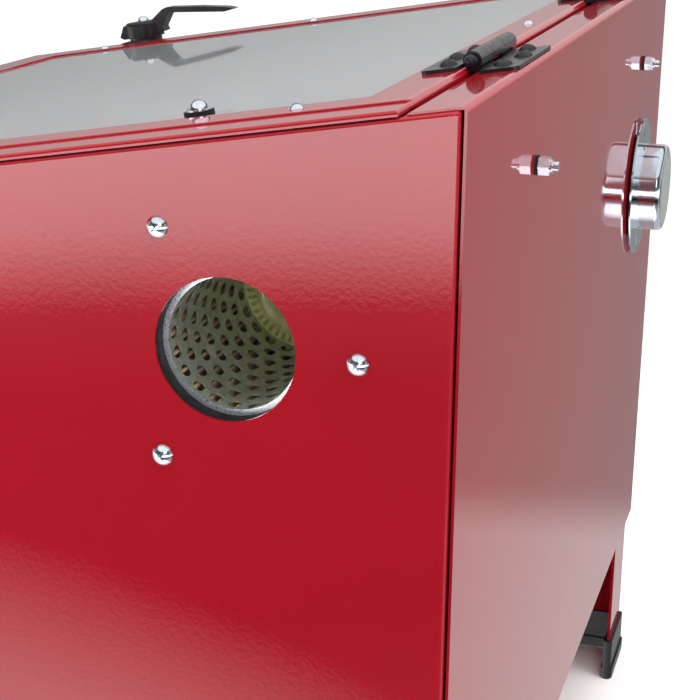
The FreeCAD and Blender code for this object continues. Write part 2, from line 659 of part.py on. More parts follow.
pane_box = ("window_wide + 2 * pane_lap", "window_back - pane_lap", "window_front + pane_lap",
            PANE_LOW, LID_UNDER)
node("window_pane", cut("pane_cut", slope_box("pane", *pane_box), *slope_drills("stay_drill", [STAY])),
     slope=True)
seal_out = ("window_wide + 2 * (frame_lap + 8)", "window_back - 22", "window_front + 18",
            PANE_LOW, LID_UNDER)
seal_hole = tuple(pane_box[:3]) + (PANE_LOW, LID_UNDER)
node("window_seal", cut("seal_cut", slope_ring("seal", seal_out, seal_hole),
                        *slope_drills("seal_drill", lid_screw_points()),
                        *slope_drills("seal_frame_drill", frame_screw_points(), "small_drill")), slope=True)
RETAINER_LOW = f"({PANE_LOW} - retainer_thick)"
retainer_out = seal_out[:3] + (RETAINER_LOW, PANE_LOW)
retainer_hole = ("window_wide", "window_back", "window_front", RETAINER_LOW, PANE_LOW)
node("window_retainer", cut("retainer_cut", slope_ring("retainer", retainer_out, retainer_hole),
                            *slope_drills("retainer_drill", lid_screw_points()),
                            *slope_drills("retainer_frame_drill", frame_screw_points(), "small_drill")),
                            slope=True)

gasket_low, gasket_top = "-side_drop", "gasket_tall - side_drop"
gasket_out = ("wide - gasket_inset", "axis_back + 5.6", "lid_front - 3", gasket_low, gasket_top)
gasket_in = ("wide - gasket_inset - 2 * gasket_wide", "axis_back + 5.6 + gasket_wide",
             "lid_front - 3 - gasket_wide",
             gasket_low, gasket_top)
gasket_ring = slope_ring("gasket_ring", gasket_out, gasket_in)
gasket_gap = slope_box("gasket_gap", "wide - gasket_inset - 2 * gasket_wide", "axis_back",
                       "axis_back + 6 + gasket_wide", -6, 6)
node("lid_gasket", cut("gasket_cut", gasket_ring, gasket_gap), slope=True)


def slope_screws(name, points, radius, height, seat, shank, long):
    """Cross-head screws standing on seat, each head with its shank below."""
    screws = []
    for i, (x, y) in enumerate(points):
        head = cut(f"{name}_{i}_head", dome(f"{name}_{i}_dome", radius, height, (x, y, seat)),
                   cross(f"{name}_{i}_cross", (x, y, f"{seat} + {height}"), "z", "1.6", "1.2"))
        screws.append(join(f"{name}_{i}", head,
                           rod(f"{name}_{i}_shank", shank, long, (x, y, f"{seat} - {long}"))))
    return group(name, *screws)


def slope_nuts(name, points, half_flat, bore, top, tall):
    nuts = []
    for i, (x, y) in enumerate(points):
        nuts.append(cut(f"{name}_{i}", hexagon(f"{name}_{i}_hex", half_flat, tall,
                                               (x, y, f"{top} - ({tall})")),
                        rod(f"{name}_{i}_bore", bore, tall, (x, y, f"{top} - ({tall})"))))
    return group(name, *nuts)


frame_long = f"({RAISED_TOP} - {RETAINER_LOW} + 4)"
node("frame_screws", slope_screws("frame_screw", list(frame_screw_points()), "small_radius",
                                  "small_tall", RAISED_TOP,
                                  "small_shank", frame_long), slope=True)
frame_nuts = slope_nuts("frame_nut", list(frame_screw_points()), 3, "small_shank", RETAINER_LOW, 2.4)

stay_x, stay_y = STAY
stay_rubber_top = f"({LID_UNDER} + stay_rubber)"
node("stay_washer", pipe("stay_rubber_ring", 6.6, "drill", "stay_rubber", (stay_x, stay_y, LID_UNDER)),
     slope=True)
stay_tooth = pipe("stay_tooth", 5.6, "shank", 0.8, (stay_x, stay_y, stay_rubber_top))
stay_dome = dome("stay_dome", 4.8, 3.8, (stay_x, stay_y, f"{stay_rubber_top} + 0.8"))
stay_head = cut("stay_head", stay_dome, cross("stay_cross", (stay_x, stay_y, f"{stay_rubber_top} + 4.6"),
                                              "z", "1.6", "1.2"))
stay_shank = rod("stay_shank", "shank", 18, (stay_x, stay_y, f"{stay_rubber_top} - 17.2"))
node("stay_bolt", join("stay_bolt_whole", stay_tooth, stay_head, stay_shank), slope=True)
eye_top = PANE_LOW
eye_plate = block("eye_plate", (14, 26, 1.5), (f"{stay_x} - 7", f"{stay_y} - 8", f"{eye_top} - 1.5"))
eye_tab = block("eye_tab", (14, 1.5, 16), (f"{stay_x} - 7", f"{stay_y} + 16.5", f"{eye_top} - 16"))
node("stay_eye", cut("eye_cut", join("eye_whole", eye_plate, eye_tab),
                     rod("eye_drill", "drill", 6, (stay_x, stay_y, f"{eye_top} - 4")),
                     rod("eye_hole", 3, 8, (stay_x, f"{stay_y} + 13", f"{eye_top} - 10"), "y")), slope=True)
stay_nut = slope_nuts("stay_nut", [STAY], "nut_flat", 2.4, f"{eye_top} - 1.5", "nut_tall")
node("lid_nuts", group("lid_nut_set", frame_nuts, stay_nut), slope=True)


# ---------------------------------------------------------------- hinges, in the slope frame

AXIS_Y = "(-axis_back)"
KNUCKLE = "(barrel_long / 3)"


def knuckle(name, side, slot, bore=True):
    """One third of a hinge barrel, slot -1, 0 or 1 along x, with a little play at each end."""
    start = f"{side} * hinge_x + ({slot} - 0.5) * {KNUCKLE} + knuckle_gap / 2"
    return rod(name, "barrel_radius", f"{KNUCKLE} - knuckle_gap", (start, AXIS_Y, "axis_high"), "x")


def hinge_bore(name, side):
    return rod(name, "pin_radius + pin_play", "barrel_long + 10",
               (f"{side} * hinge_x - barrel_long / 2 - 5", AXIS_Y,
                                                                   "axis_high"), "x")


def fixed_leaf(side, name):
    back, reach = "fixed_leaf_back", "(axis_back - leaf_gap)"
    plate = block(name + "_plate", ("hinge_wide", f"{reach} - {back}", "leaf_thick"),
                  (f"{side} * (hinge_x + leaf_shift) - hinge_wide / 2", f"-{reach}", 0))
    tongues, knuckles = [], []
    for slot in (-1, 1):
        start = f"{side} * hinge_x + ({slot} - 0.5) * {KNUCKLE} + knuckle_gap / 2"
        tongues.append(block(f"{name}_tongue_{slot + 1}",
                             (f"{KNUCKLE} - knuckle_gap", "leaf_gap", "leaf_thick"),
                             (start, "-axis_back", 0)))
        knuckles.append(knuckle(f"{name}_knuckle_{slot + 1}", side, slot))
    soft_plate = softened(name + "_soft", plate, 3, lambda e: runs_along(e, Z) and e.CenterOfMass.y > -5)
    drills = slope_drills(name + "_drill", hinge_screw_points(side, 11.5, 8))
    return cut(name + "_cut", join(name + "_whole", soft_plate, *tongues, *knuckles),
               hinge_bore(name + "_bore", side), *drills)


def lid_leaf(side, name):
    start_y = "(axis_back + leaf_gap)"
    plate = block(name + "_plate", ("hinge_wide", f"lid_leaf_front - {start_y}", "leaf_thick"),
                  (f"{side} * (hinge_x + leaf_shift) - hinge_wide / 2", "-lid_leaf_front", RAISED_TOP))
    start = f"{side} * hinge_x - {KNUCKLE} / 2 + knuckle_gap / 2"
    tongue = block(name + "_tongue", (f"{KNUCKLE} - knuckle_gap", "leaf_gap", "leaf_thick"),
                   (start, f"-{start_y}", RAISED_TOP))
    soft_plate = softened(name + "_soft", plate, 3, lambda e: runs_along(e, Z) and e.CenterOfMass.y < -40)
    drills = slope_drills(name + "_drill", hinge_screw_points(side, 35.5, 38))
    return cut(name + "_cut", join(name + "_whole", soft_plate, tongue, knuckle(name + "_knuckle", side, 0)),
               hinge_bore(name + "_bore", side), *drills)


def hinge_pin(side, name):
    near = f"{side} * hinge_x + {side} * (barrel_long / 2 + 2.4)"
    far = f"{side} * hinge_x - {side} * (barrel_long / 2 + 3)"
    shaft = rod(name + "_shaft", "pin_radius", "barrel_long + 5",
                (f"{side} * hinge_x - barrel_long / 2 - 2.5", AXIS_Y,
                                                                  "axis_high"), "x")
    tip = ball(name + "_tip", 3, (near, AXIS_Y, "axis_high"))
    head = rod(name + "_head", 4.1, 2.8, (far, AXIS_Y, "axis_high"), "x" if side > 0 else "-x")
    return join(name, shaft, tip, head)


def on_both_sides(name, make):
    return group(name, *(make(side, f"{name}_{word}") for side, word in zip(HINGE_SIDES, ("right", "left"))))


node("hinge_fixed_leaves", on_both_sides("fixed_leaf", fixed_leaf), slope=True)
node("hinge_lid_leaves", on_both_sides("lid_leaf", lid_leaf), slope=True)
node("hinge_pins", on_both_sides("hinge_pin", hinge_pin), slope=True)

node("hinge_screws_fixed", slope_screws("fixed_screw", list(fixed_screw_points()), "black_radius",
                                        "black_tall",
                                        "leaf_thick", "shank", 9), slope=True)
node("hinge_screws_lid", slope_screws("lid_screw", list(lid_screw_points()), "black_radius", "black_tall",
                                      f"{RAISED_TOP} + leaf_thick", "shank", 12), slope=True)


# ---------------------------------------------------------------- latches, in the slope frame

LATCH_AT = ("latch_x", "-latch_back", 0)


def stadium(name, half_long, radius, low, high):
    """A round-ended slab, long in y, centred on the latch post."""
    tall = f"({high}) - ({low})"
    offset = f"({half_long} - {radius})"
    ends = [rod(f"{name}_end_{s + 1}", radius, tall,
                ("latch_x", f"-latch_back + {s} * {offset}", low)) for s in (-1, 1)]
    middle = block(name + "_middle", (f"2 * ({radius})", f"2 * {offset}", tall),
                   (f"latch_x - ({radius})", f"-latch_back - {offset}", low))
    return join(name, middle, *ends)


def latch_lever():
    """The lever's side view: up from the body, then nearly level with the lid, ending in a point."""
    outline = [(2, 8), (2, 14), (8, 15), (20, 23.2), (24, 24.2), (50, 21.6), (72, 18.3),
               (78.4, 16.4), (75.5, 15.6),
               (70.5, 15), (28, 19.8), (24.6, 19.4), (18, 10.3), (19, 7), (15, 6)]
    lever = profile("lever_outline", "YZ_Plane", outline, 12)
    return place(lever, LATCH_AT)


def latch_nose():
    """The hook that swings over the lid's flange, with a sloping top."""
    outline = [(0, "nose_low"), ("3 - nose_reach", "nose_low"), ("-nose_reach", 5.9),
               ("4.1 - nose_reach", 14.1),
               (-5, 15.5), (0, 15.5)]
    nose = profile("nose_outline", "YZ_Plane", outline, 13)
    return place(nose, LATCH_AT)


def latch_handle():
    post = rod("latch_foot", "latch_half", "latch_low + 1.2", ("latch_x", "-latch_back", "-latch_low"))
    neck = stadium("latch_neck", 12.6, "latch_half", -0.4, 6)
    shoulder = softened("latch_shoulder_soft",
                        stadium("latch_shoulder", 15, "latch_half", "nose_low", "latch_top"), 3,
                        lambda e: e.CenterOfMass.z > num("latch_top") - 0.01)
    whole = join("latch_whole", post, neck, shoulder, latch_lever(), latch_nose())
    bore = rod("latch_bore_tool", "latch_bore", 40, ("latch_x", "-latch_back", -10))
    return cut("latch_cut", whole, bore)


def latch_bracket():
    shelf = block("bracket_shelf", ("bracket_reach", "bracket_long", "bracket_thick"),
                  ("wide / 2", "-latch_back - bracket_long / 2", f"{BRACKET_TOP} - bracket_thick"))
    leg = block("bracket_leg", ("bracket_thick", "bracket_long", "bracket_drop"),
                ("wide / 2", "-latch_back - bracket_long / 2", f"{BRACKET_TOP} - bracket_drop"))
    soft = softened("bracket_soft", join("bracket_whole", shelf, leg), 5,
                    lambda e: (runs_along(e, Z) and e.Length < 2 and e.CenterOfMass.x > num("wide / 2") + 5)
                    or (runs_along(e, X) and e.Length < 2 and e.CenterOfMass.z < num(BRACKET_TOP) - 10))
    drills = [rod(f"bracket_drill_{i}", "drill", 12, ("wide / 2 - 6", y, z), "x") for i,
              (y, z) in enumerate(bracket_points())]
    return cut("bracket_cut", soft, rod("bracket_bore", "drill + 0.1", 10, ("latch_x", "-latch_back", -12)),
               *drills)


def bracket_screws():
    screws = []
    for i, (y, z) in enumerate(bracket_points()):
        head = dome(f"bracket_screw_{i}_head", 4.2, 2.6, ("wide / 2 + bracket_thick", y, z), "x")
        shank = rod(f"bracket_screw_{i}_shank", "shank", 11, ("wide / 2 + bracket_thick - 11", y, z), "x")
        screws.append(join(f"bracket_screw_{i}", head, shank))
    return group("bracket_screw_pair", *screws)


def latch_bolt():
    head = dome("latch_bolt_head", "latch_bolt_radius", "latch_bolt_tall",
                ("latch_x", "-latch_back", "latch_top + 0.3"))
    shank = rod("latch_bolt_shank", "post_radius", "latch_top + 12", ("latch_x", "-latch_back", -11.7))
    return join("latch_bolt_whole", head, shank)


def latch_nut():
    top = f"{BRACKET_TOP} - bracket_thick"
    return cut("latch_nut_cut", hexagon("latch_nut_hex", "nut_flat", "nut_tall",
                                        ("latch_x", "-latch_back", f"{top} - nut_tall")),
               rod("latch_nut_bore", "post_radius", "nut_tall",
                   ("latch_x", "-latch_back", f"{top} - nut_tall")))


def pair(name, piece):
    return group(name + "_pair", piece, mirrored(name + "_mirror", piece))


right_latch = node("latch_lever_right", latch_handle(), slope=True)
node("latch_lever_left", mirrored("latch_lever_mirror", right_latch))
node("latch_brackets", pair("latch_bracket", latch_bracket()), slope=True)
node("latch_bolts", group("latch_bolt_set", pair("latch_bolt", latch_bolt()),
                          pair("bracket_screws", bracket_screws())), slope=True)
latch_nuts = tilted("latch_nuts", [pair("latch_nut", latch_nut())])
keeper_block = block("keeper_block", (14, 16, "keeper_top - lid_flange_top"),
                     (284, "-latch_back - 8", "lid_flange_top"))
keeper = softened("keeper_soft", keeper_block, 0.8, lambda e: e.CenterOfMass.z > num("keeper_top") - 0.01)
node("lid_keepers", pair("keeper", keeper), slope=True)


# ---------------------------------------------------------------- dust filter on the right side

def on_filter(start):
    return start, FILTER_Y, FILTER_Z


GASKET_IN = f"({WALL_IN} - filter_gasket_thick)"
PLATE_IN = f"({GASKET_IN} - filter_plate)"
CORE_IN = f"({PLATE_IN} - core_long)"
CAP_IN = f"({CORE_IN} - cap_thick)"
filter_gasket = pipe("filter_gasket_ring", "filter_outer - 1", "filter_hole + 0.6",
                     "filter_gasket_thick", on_filter(GASKET_IN), "x")
node("filter_end_plate", pipe("filter_end_ring", "filter_outer", "filter_bore", "filter_plate",
                              on_filter(PLATE_IN), "x"))
node("filter_core", pipe("filter_core_tube", "core_inner + core_wall", "core_inner", "core_long",
                         on_filter(CORE_IN), "x"))
node("filter_pleats", pipe("filter_pleat_ring", "pleat_outer", "pleat_inner", "core_long",
                           on_filter(CORE_IN), "x"))
cap_disc = rod("cap_disc", "filter_outer", "cap_thick", on_filter(CAP_IN), "x")
cap_ridges = [pipe(f"cap_ridge_{i}", f"{r} + 1.5", r, 1.6, on_filter(CORE_IN), "x") for i,
              r in enumerate((11, 17, 22))]
node("filter_end_cap", cut("cap_cut", join("cap_whole", cap_disc, *cap_ridges),
                           rod("cap_bore", 3.1, 30, on_filter(f"{CAP_IN} - 5"), "x")))
SPIDER_IN = f"({CAP_IN} - cage_thick)"


def cage_arms():
    """Three straps from the panel to a spider behind the end cap."""
    foot_long = "(filter_pitch - cage_radius + 8)"
    for i, angle in enumerate((0, 120, 240)):
        turn = FreeCAD.Rotation(X, angle)
        strap = block(f"strap_{i}", (f"{WALL_IN} - {SPIDER_IN}", "cage_thick", "cage_wide"), (0, 0, 0))
        strap_at = turn.multVec(V(0, num("cage_radius"), -num("cage_wide") / 2))
        foot = block(f"strap_foot_{i}", ("cage_thick", foot_long, "cage_wide"), (0, 0, 0))
        arm = block(f"spider_arm_{i}", ("cage_thick", "cage_radius + cage_thick", "cage_wide"), (0, 0, 0))
        arm_at = turn.multVec(V(0, 0, -num("cage_wide") / 2))
        for piece, start, shift in ((strap, SPIDER_IN, strap_at),
                                    (foot, f"{WALL_IN} - cage_thick", strap_at),
                                    (arm, SPIDER_IN, arm_at)):
            piece.Placement = FreeCAD.Placement(V(), turn)
            piece.setExpression(".Placement.Base.x", bound(start))
            piece.setExpression(".Placement.Base.y", bound(f"{FILTER_Y} + {shift.y}"))
            piece.setExpression(".Placement.Base.z", bound(f"{FILTER_Z} + {shift.z}"))
            yield piece


cage_drills = [rod(f"cage_drill_{i}", "drill", 10, (f"{WALL_IN} - 5", y, z), "x") for i,
               (y, z) in enumerate(filter_ring_points())]
node("filter_cage", cut("cage_cut", join("cage_whole", *cage_arms()),
                        rod("cage_bore", 3.1, 12, on_filter(f"{SPIDER_IN} - 5"), "x"), *cage_drills))
tie_head = hexagon("tie_head", 5, 4, on_filter(CORE_IN), "x")
tie_shank = rod("tie_shank", 3, f"cap_thick + cage_thick + 7 + 2", on_filter(f"{SPIDER_IN} - 7"), "x")
node("filter_tie_bolt", join("tie_bolt", tie_head, tie_shank))
tie_nut = cut("tie_nut_cut", hexagon("tie_nut", 5, 5, on_filter(f"{SPIDER_IN} - 5"), "x"),
              rod("tie_nut_bore", 3, 5, on_filter(f"{SPIDER_IN} - 5"), "x"))


def filter_screws():
    for i, (y, z) in enumerate(filter_ring_points()):
        head = cut(f"filter_screw_{i}_head",
                   dome(f"filter_screw_{i}_dome", "pan_radius", "pan_tall", ("wide / 2", y, z), "x"),
                   cross(f"filter_screw_{i}_cross", ("wide / 2 + pan_tall", y, z), "x"))
        yield join(f"filter_screw_{i}", head,
                   rod(f"filter_screw_{i}_shank", "shank", 12, ("wide / 2 - 12", y, z), "x"))


def filter_nuts():
    start = f"{WALL_IN} - cage_thick - nut_tall"
    for i, (y, z) in enumerate(filter_ring_points()):
        yield cut(f"filter_nut_{i}", hexagon(f"filter_nut_{i}_hex", "nut_flat", "nut_tall",
                                             (start, y, z), "x"),
                  rod(f"filter_nut_{i}_bore", "shank", "nut_tall", (start, y, z), "x"))


node("filter_screws", group("filter_screw_set", *filter_screws()))
node("lock_nuts", group("lock_nut_set", latch_nuts, tie_nut, *filter_nuts()))


# ---------------------------------------------------------------- light at the back

LIGHT_MID = "((light_left + light_right) / 2)"
LIGHT_LOW = f"({LIGHT_Z} - light_tall * 0.6)"
PANEL_IN = "(back_y - gauge)"


def light_box(name, inset, low, high, front_inset):
    return block(name, (f"light_wide - 2 * ({inset})", f"light_deep - ({inset}) - ({front_inset})",
                        f"({high}) - ({low})"),
                 (f"{LIGHT_MID} - light_wide / 2 + ({inset})", f"{PANEL_IN} - light_deep + ({front_inset})",
                  low))


light_shell = cut("light_shell", light_box("light_out", 0, LIGHT_LOW, f"{LIGHT_LOW} + light_tall", 0),
                  light_box("light_in", "light_wall", LIGHT_LOW, f"{LIGHT_LOW} + light_tall - light_wall",
                            "light_wall"))
light_back_drills = [rod(f"light_back_drill_{i}", "drill", 10, (x, f"{PANEL_IN} - 5", LIGHT_Z), "y") for i,
                     x in enumerate(LIGHT_XS)]
node("light_housing", cut("light_cut", light_shell, *light_back_drills))
node("light_lens", group("light_lens_sheet", light_box("light_lens_plate", "light_wall", LIGHT_LOW,
                                                       f"{LIGHT_LOW} + lens_thick", "light_wall")))
LAMP_AT = (f"{PANEL_IN} - light_deep / 2 - 1", f"{LIGHT_LOW} + light_tall / 2")
lamp = rod("lamp_tube", 8, "light_wide - 59", (f"{LIGHT_MID} - light_wide / 2 + 29.5", *LAMP_AT), "x")
holders = []
for i, side in enumerate((-1, 1)):
    start = f"{LIGHT_MID} + {side} * (light_wide / 2 - 24.5) - 5"
    holders.append(block(f"lamp_holder_{i}", (10, 20, f"light_tall / 2 + 8"),
                         (start, f"{LAMP_AT[0]} - 10", f"{LAMP_AT[1]} - 9")))
node("light_lamp", group("lamp_whole", lamp, *holders))
bolts, washers, nuts = [], [], []
for i, x in enumerate(LIGHT_XS):
    inside = f"{PANEL_IN} - light_wall"
    bolts.append(join(f"light_bolt_{i}", rod(f"light_bolt_head_{i}", 4.4, 2.6,
                                             (x, f"{inside} - 2.6", LIGHT_Z), "y"),
                      rod(f"light_bolt_shank_{i}", "shank", f"gauge + light_wall + 10.6",
                          (x, inside, LIGHT_Z), "y")))
    washers.append(pipe(f"light_washer_{i}", 4.5, "shank", 1.6, (x, "back_y", LIGHT_Z), "y"))
    nut_hex = hexagon(f"light_nut_hex_{i}", "nut_flat", 5, (x, "back_y + 1.6", LIGHT_Z), "y")
    nut_collar = rod(f"light_nut_collar_{i}", 3.6, 1.2, (x, "back_y + 6.6", LIGHT_Z), "y")
    nuts.append(cut(f"light_nut_{i}", join(f"light_nut_body_{i}", nut_hex, nut_collar),
                    rod(f"light_nut_bore_{i}", "shank", 8, (x, "back_y + 1", LIGHT_Z), "y")))
node("light_bolts", group("light_bolt_pair", *bolts))
node("light_nuts", group("light_nut_pair", *nuts))


# ---------------------------------------------------------------- dust port on the back

def on_port(y):
    return "port_x", y, PORT_Z


PORT_FACE = "(back_y + port_gasket)"
port_disc = rod("port_disc", "port_flange", "port_plate", on_port(PORT_FACE), "y")
port_tube = rod("port_tube", "port_hole - 0.3", "port_gasket + port_plate + 22", on_port("back_y - 10"), "y")
slots = [centred(f"port_slot_{i}", ("slot_wide", 6, "slot_long"),
                 ("port_x", PORT_FACE, f"{PORT_Z} + {s} * slot_radius - slot_long / 2"))
         for i, s in enumerate((1, -1))]
node("dust_port", cut("port_cut", join("port_whole", port_disc, port_tube),
                      rod("port_bore_tool", "port_bore", 40, on_port("back_y - 15"), "y"), *slots))
port_gasket = pipe("port_gasket_ring", 33, "port_hole - 0.3", "port_gasket", on_port("back_y"), "y")
node("rubber_gaskets", group("rubber_gasket_set", filter_gasket, port_gasket, *washers))
port_lock = pipe("port_lock", 34, "port_hole - 0.3", 4, on_port(f"{PANEL_IN} - 4"), "y")
cap_start = f"{PORT_FACE} + port_plate"
cap_blank = rod("port_cap_blank", "port_radius", "port_long", on_port(cap_start), "y")
cap_outer = softened("port_cap_outer", cap_blank, 4,
                     lambda e: not runs_along(e, Y) and e.CenterOfMass.y > num(cap_start) + 5)
node("port_cap", cut("port_cap_cut", cap_outer,
                     rod("port_cap_hollow", "port_hole - 0.3", "port_long - 4.4", on_port(cap_start), "y")))


# ---------------------------------------------------------------- arm ports and gloves

def arm_ring():
    flange = rod("arm_ring_flange", "arm_flange", "arm_flange_thick",
                 ("arm_x", f"{FRONT_Y} - arm_flange_thick", "arm_z"), "y")
    soft = softened("arm_ring_soft", flange, 2,
                    lambda e: e.CenterOfMass.y < num(FRONT_Y) - 3 and not runs_along(e, Y))
    tube = rod("arm_ring_tube", "arm_bore + arm_wall", "arm_sleeve", ("arm_x", FRONT_Y, "arm_z"), "y")
    bore = rod("arm_ring_bore", "arm_bore", 60, ("arm_x", f"{FRONT_Y} - 10", "arm_z"), "y")
    return cut("arm_ring_cut", join("arm_ring_whole", soft, tube), bore)


GLOVE_STATIONS = [(8, 262, 80.4, 80.4), (38, 262, 80.4, 80.4), (60, 262, 75, 75),
                  (170, 252, 62, 62), (280, 238, 48, 46),
                  (330, 228, 56, 30), (400, 216, 54, 26), (425, 212, 36, 18)]


def glove_skin(name, shrink, stations):
    """A glove's surface, lofted straight between its stations.

    Each station is the distance in from the front, the height and the half sizes.
    """
    sections = []
    for i, (deep_in, high, half_x, half_z) in enumerate(stations):
        ring = fresh("Part::Ellipse", f"{name}_{i}")
        ring.setExpression("MajorRadius", bound(f"{max(half_x, half_z) + 0.01} - {shrink}"))
        ring.setExpression("MinorRadius", bound(f"{min(half_x, half_z)} - {shrink}"))
        sections.append(place(ring, ("arm_x", f"{FRONT_Y} + {deep_in}", high), X, -90))
    loft = fresh("Part::Loft", name)
    loft.Sections = sections
    loft.Solid, loft.Ruled = True, True
    return loft


def glove():
    inner = [(8, 262, 80.4, 80.4)] + GLOVE_STATIONS[1:-1] + [(418, 212, 36, 18)]
    return cut("glove_cut", glove_skin("glove_outer", 0, GLOVE_STATIONS),
               glove_skin("glove_inner", "glove_wall", inner))


def clamp():
    """A worm-drive band round the glove's cuff."""
    band = pipe("clamp_band", 81.8, 80.6, 12, ("arm_x", f"{FRONT_Y} + 16", "arm_z"), "y")
    housing = centred("clamp_housing", (16, 14, 7), ("arm_x", f"{FRONT_Y} + 22", "arm_z + 81.2"))
    screw = rod("clamp_screw", 3.6, 26, ("arm_x - 13", f"{FRONT_Y} + 22", "arm_z + 85"), "x")
    return join("clamp_whole", band, housing, screw)


node("arm_rings", pair("arm_ring", arm_ring()))
node("gloves", pair("glove", glove()))
node("glove_clamps", pair("glove_clamp", clamp()))


# ---------------------------------------------------------------- blast gun on the left wall

GUN_Y = "(back_y - gun_back)"


def on_gun(z, ahead=0, aside=0):
    return f"gun_x + {aside}", f"{GUN_Y} - {ahead}", z


hanger_plate = block("hanger_plate", (1.5, 40, 52), (f"-{WALL_IN}", f"{GUN_Y} - 20", "gun_z - 2"))
hanger_shelf = block("hanger_shelf", (f"{WALL_IN} + gun_x + 22", 40, 2),
                     (f"-{WALL_IN}", f"{GUN_Y} - 20", "gun_z - 2"))
node("gun_hanger", cut("hanger_cut", join("hanger_whole", hanger_plate, hanger_shelf),
                       rod("hanger_hole", 9, 20, on_gun("gun_z - 10"))))
node("gun_nozzle", pipe("nozzle", "nozzle_radius", 3, 34, on_gun("gun_z - 28")))
nozzle_nut = softened("nozzle_nut_soft", rod("nozzle_nut_blank", "gun_radius - 1", 16, on_gun("gun_z")), 2,
                      lambda e: not runs_along(e, Z) and e.CenterOfMass.z < num("gun_z") + 1)
node("gun_nozzle_nut", cut("nozzle_nut_cut", nozzle_nut,
                           rod("nozzle_nut_bore", "nozzle_radius", 20, on_gun("gun_z - 14")),
                           rod("nozzle_nut_top", 3, 16, on_gun("gun_z + 2"))))
barrel = softened("barrel_soft", rod("barrel", "gun_radius", "gun_long", on_gun("gun_z + 16")), 3,
                  lambda e: not runs_along(e, Z) and e.CenterOfMass.z > num("gun_z + 20"))
grip = softened("grip_soft", block("grip", (24, 92, 30), on_gun("gun_z + 62", 98, -12)), 7,
                lambda e: runs_along(e, Y))
TRIGGER_AT = ("gun_z + 50", 21)
ears = [block(f"ear_{i}", (3, 17, 18), on_gun(f"{TRIGGER_AT[0]} - 6", TRIGGER_AT[1] + 6, x)) for i,
        x in enumerate((-7.3, 4.3))]
pin_hole = rod("pin_hole", 2.02, 30, on_gun(TRIGGER_AT[0], TRIGGER_AT[1], -15), "x")
trigger_pin = rod("trigger_pin", 2, 17, on_gun(TRIGGER_AT[0], TRIGGER_AT[1], -8.5), "x")
node("gun_body", group("gun_and_pin", cut("gun_cut", join("gun_whole", barrel, grip, *ears), pin_hole),
                       trigger_pin))
hub = rod("trigger_hub", 5, 8, on_gun(TRIGGER_AT[0], TRIGGER_AT[1], -4), "x")
blade = softened("trigger_blade_soft", block("trigger_blade", (8, 62, 5),
                                             on_gun(f"{TRIGGER_AT[0]} - 4.5", TRIGGER_AT[1] + 62, -4)), 1.5,
                 lambda e: runs_along(e, Y))
node("gun_trigger", cut("trigger_cut", join("trigger_whole", hub, blade),
                        rod("trigger_bore", 2.06, 20, on_gun(TRIGGER_AT[0], TRIGGER_AT[1], -10), "x")))
grit_barb = join("grit_barb", rod("barb_tube", 6, 24, on_gun("gun_z + 16 + gun_long")),
                 *[cone(f"barb_{i}", 8, 6.2, 5,
                        on_gun(f"gun_z + 18 + gun_long + {i} * 7")) for i in range(3)])
air_end = hexagon("air_end", 9, 12, on_gun("gun_z + 77", 98), "-y")
node("gun_fittings", group("gun_fitting_pair", cut("grit_fitting", grit_barb,
                                                   rod("grit_bore", 4, 40, on_gun("gun_z + 16 + gun_long"))),
                           cut("air_fitting", air_end,
                               rod("air_bore", 4.5, 14, on_gun("gun_z + 77", 98), "-y"))))


# ---------------------------------------------------------------- fittings on the left wall

def through_fitting(name, y, z, half_flat, thread, stub, stub_long, bore):
    """A hexagon outside, a thread through the wall and a nut inside."""
    flange = hexagon(name + "_flange", half_flat, 8, ("-wide / 2 - 8", y, z), "x")
    outside = softened(name + "_soft", rod(name + "_stub", stub, stub_long,
                                           (f"-wide / 2 - 8 - {stub_long}", y, z), "x"), 1.4,
                       lambda e: not runs_along(e, X)
                       and e.CenterOfMass.x < num(f"-wide / 2 - 8 - {stub_long}") + 0.5)
    shank = rod(name + "_thread", thread, 20, ("-wide / 2", y, z), "x")
    hole = rod(name + "_bore", bore, 60, (f"-wide / 2 - 10 - {stub_long}", y, z), "x")
    node(name, cut(name + "_cut", join(name + "_whole", flange, outside, shank), hole))
    return cut(name + "_nut", hexagon(name + "_nut_hex", half_flat, 6, (f"-{WALL_IN}", y, z), "x"),
               rod(name + "_nut_bore", thread, 6, (f"-{WALL_IN}", y, z), "x"))


inlet_nut = through_fitting("air_inlet", INLET_Y, "inlet_z", 11, 7, 8, 16, "inlet_bore")
gland_nut = through_fitting("cable_gland", GLAND_Y, "gland_z", 9.5, 8, 8.6, 9, 3.5)
node("panel_nuts", group("panel_nut_set", inlet_nut, gland_nut, port_lock))

bezel_rim = centred("bezel_rim", (2, 24, 34), ("-wide / 2 - 1", SWITCH_Y, "switch_z - 17"))
bezel_box = centred("bezel_box", (20, 19, 28), ("-wide / 2 + 10", SWITCH_Y, "switch_z - 14"))
bezel_hollow = centred("bezel_hollow", (20, "rocker_wide + 0.8", 25),
                       ("-wide / 2 + 6", SWITCH_Y, "switch_z - 12.5"))
node("switch_housing", cut("switch_cut", join("switch_whole", bezel_rim, bezel_box), bezel_hollow))
rocker_outline = [(-9, -10), (-7.4, 0), (-9, 10), (0, 10), (0, -10)]
rocker = profile("rocker_outline", "XZ_Plane", rocker_outline, "rocker_wide")
rocker_pivot = rod("rocker_pivot_rod", "rocker_pivot", "rocker_wide", (0, "-rocker_wide / 2", 0), "y")
node("switch_rocker", place(join("rocker_whole", rocker, rocker_pivot),
                            ("-wide / 2 + 3.5", SWITCH_Y, "switch_z"), Y, 10))


# ---------------------------------------------------------------- check and write

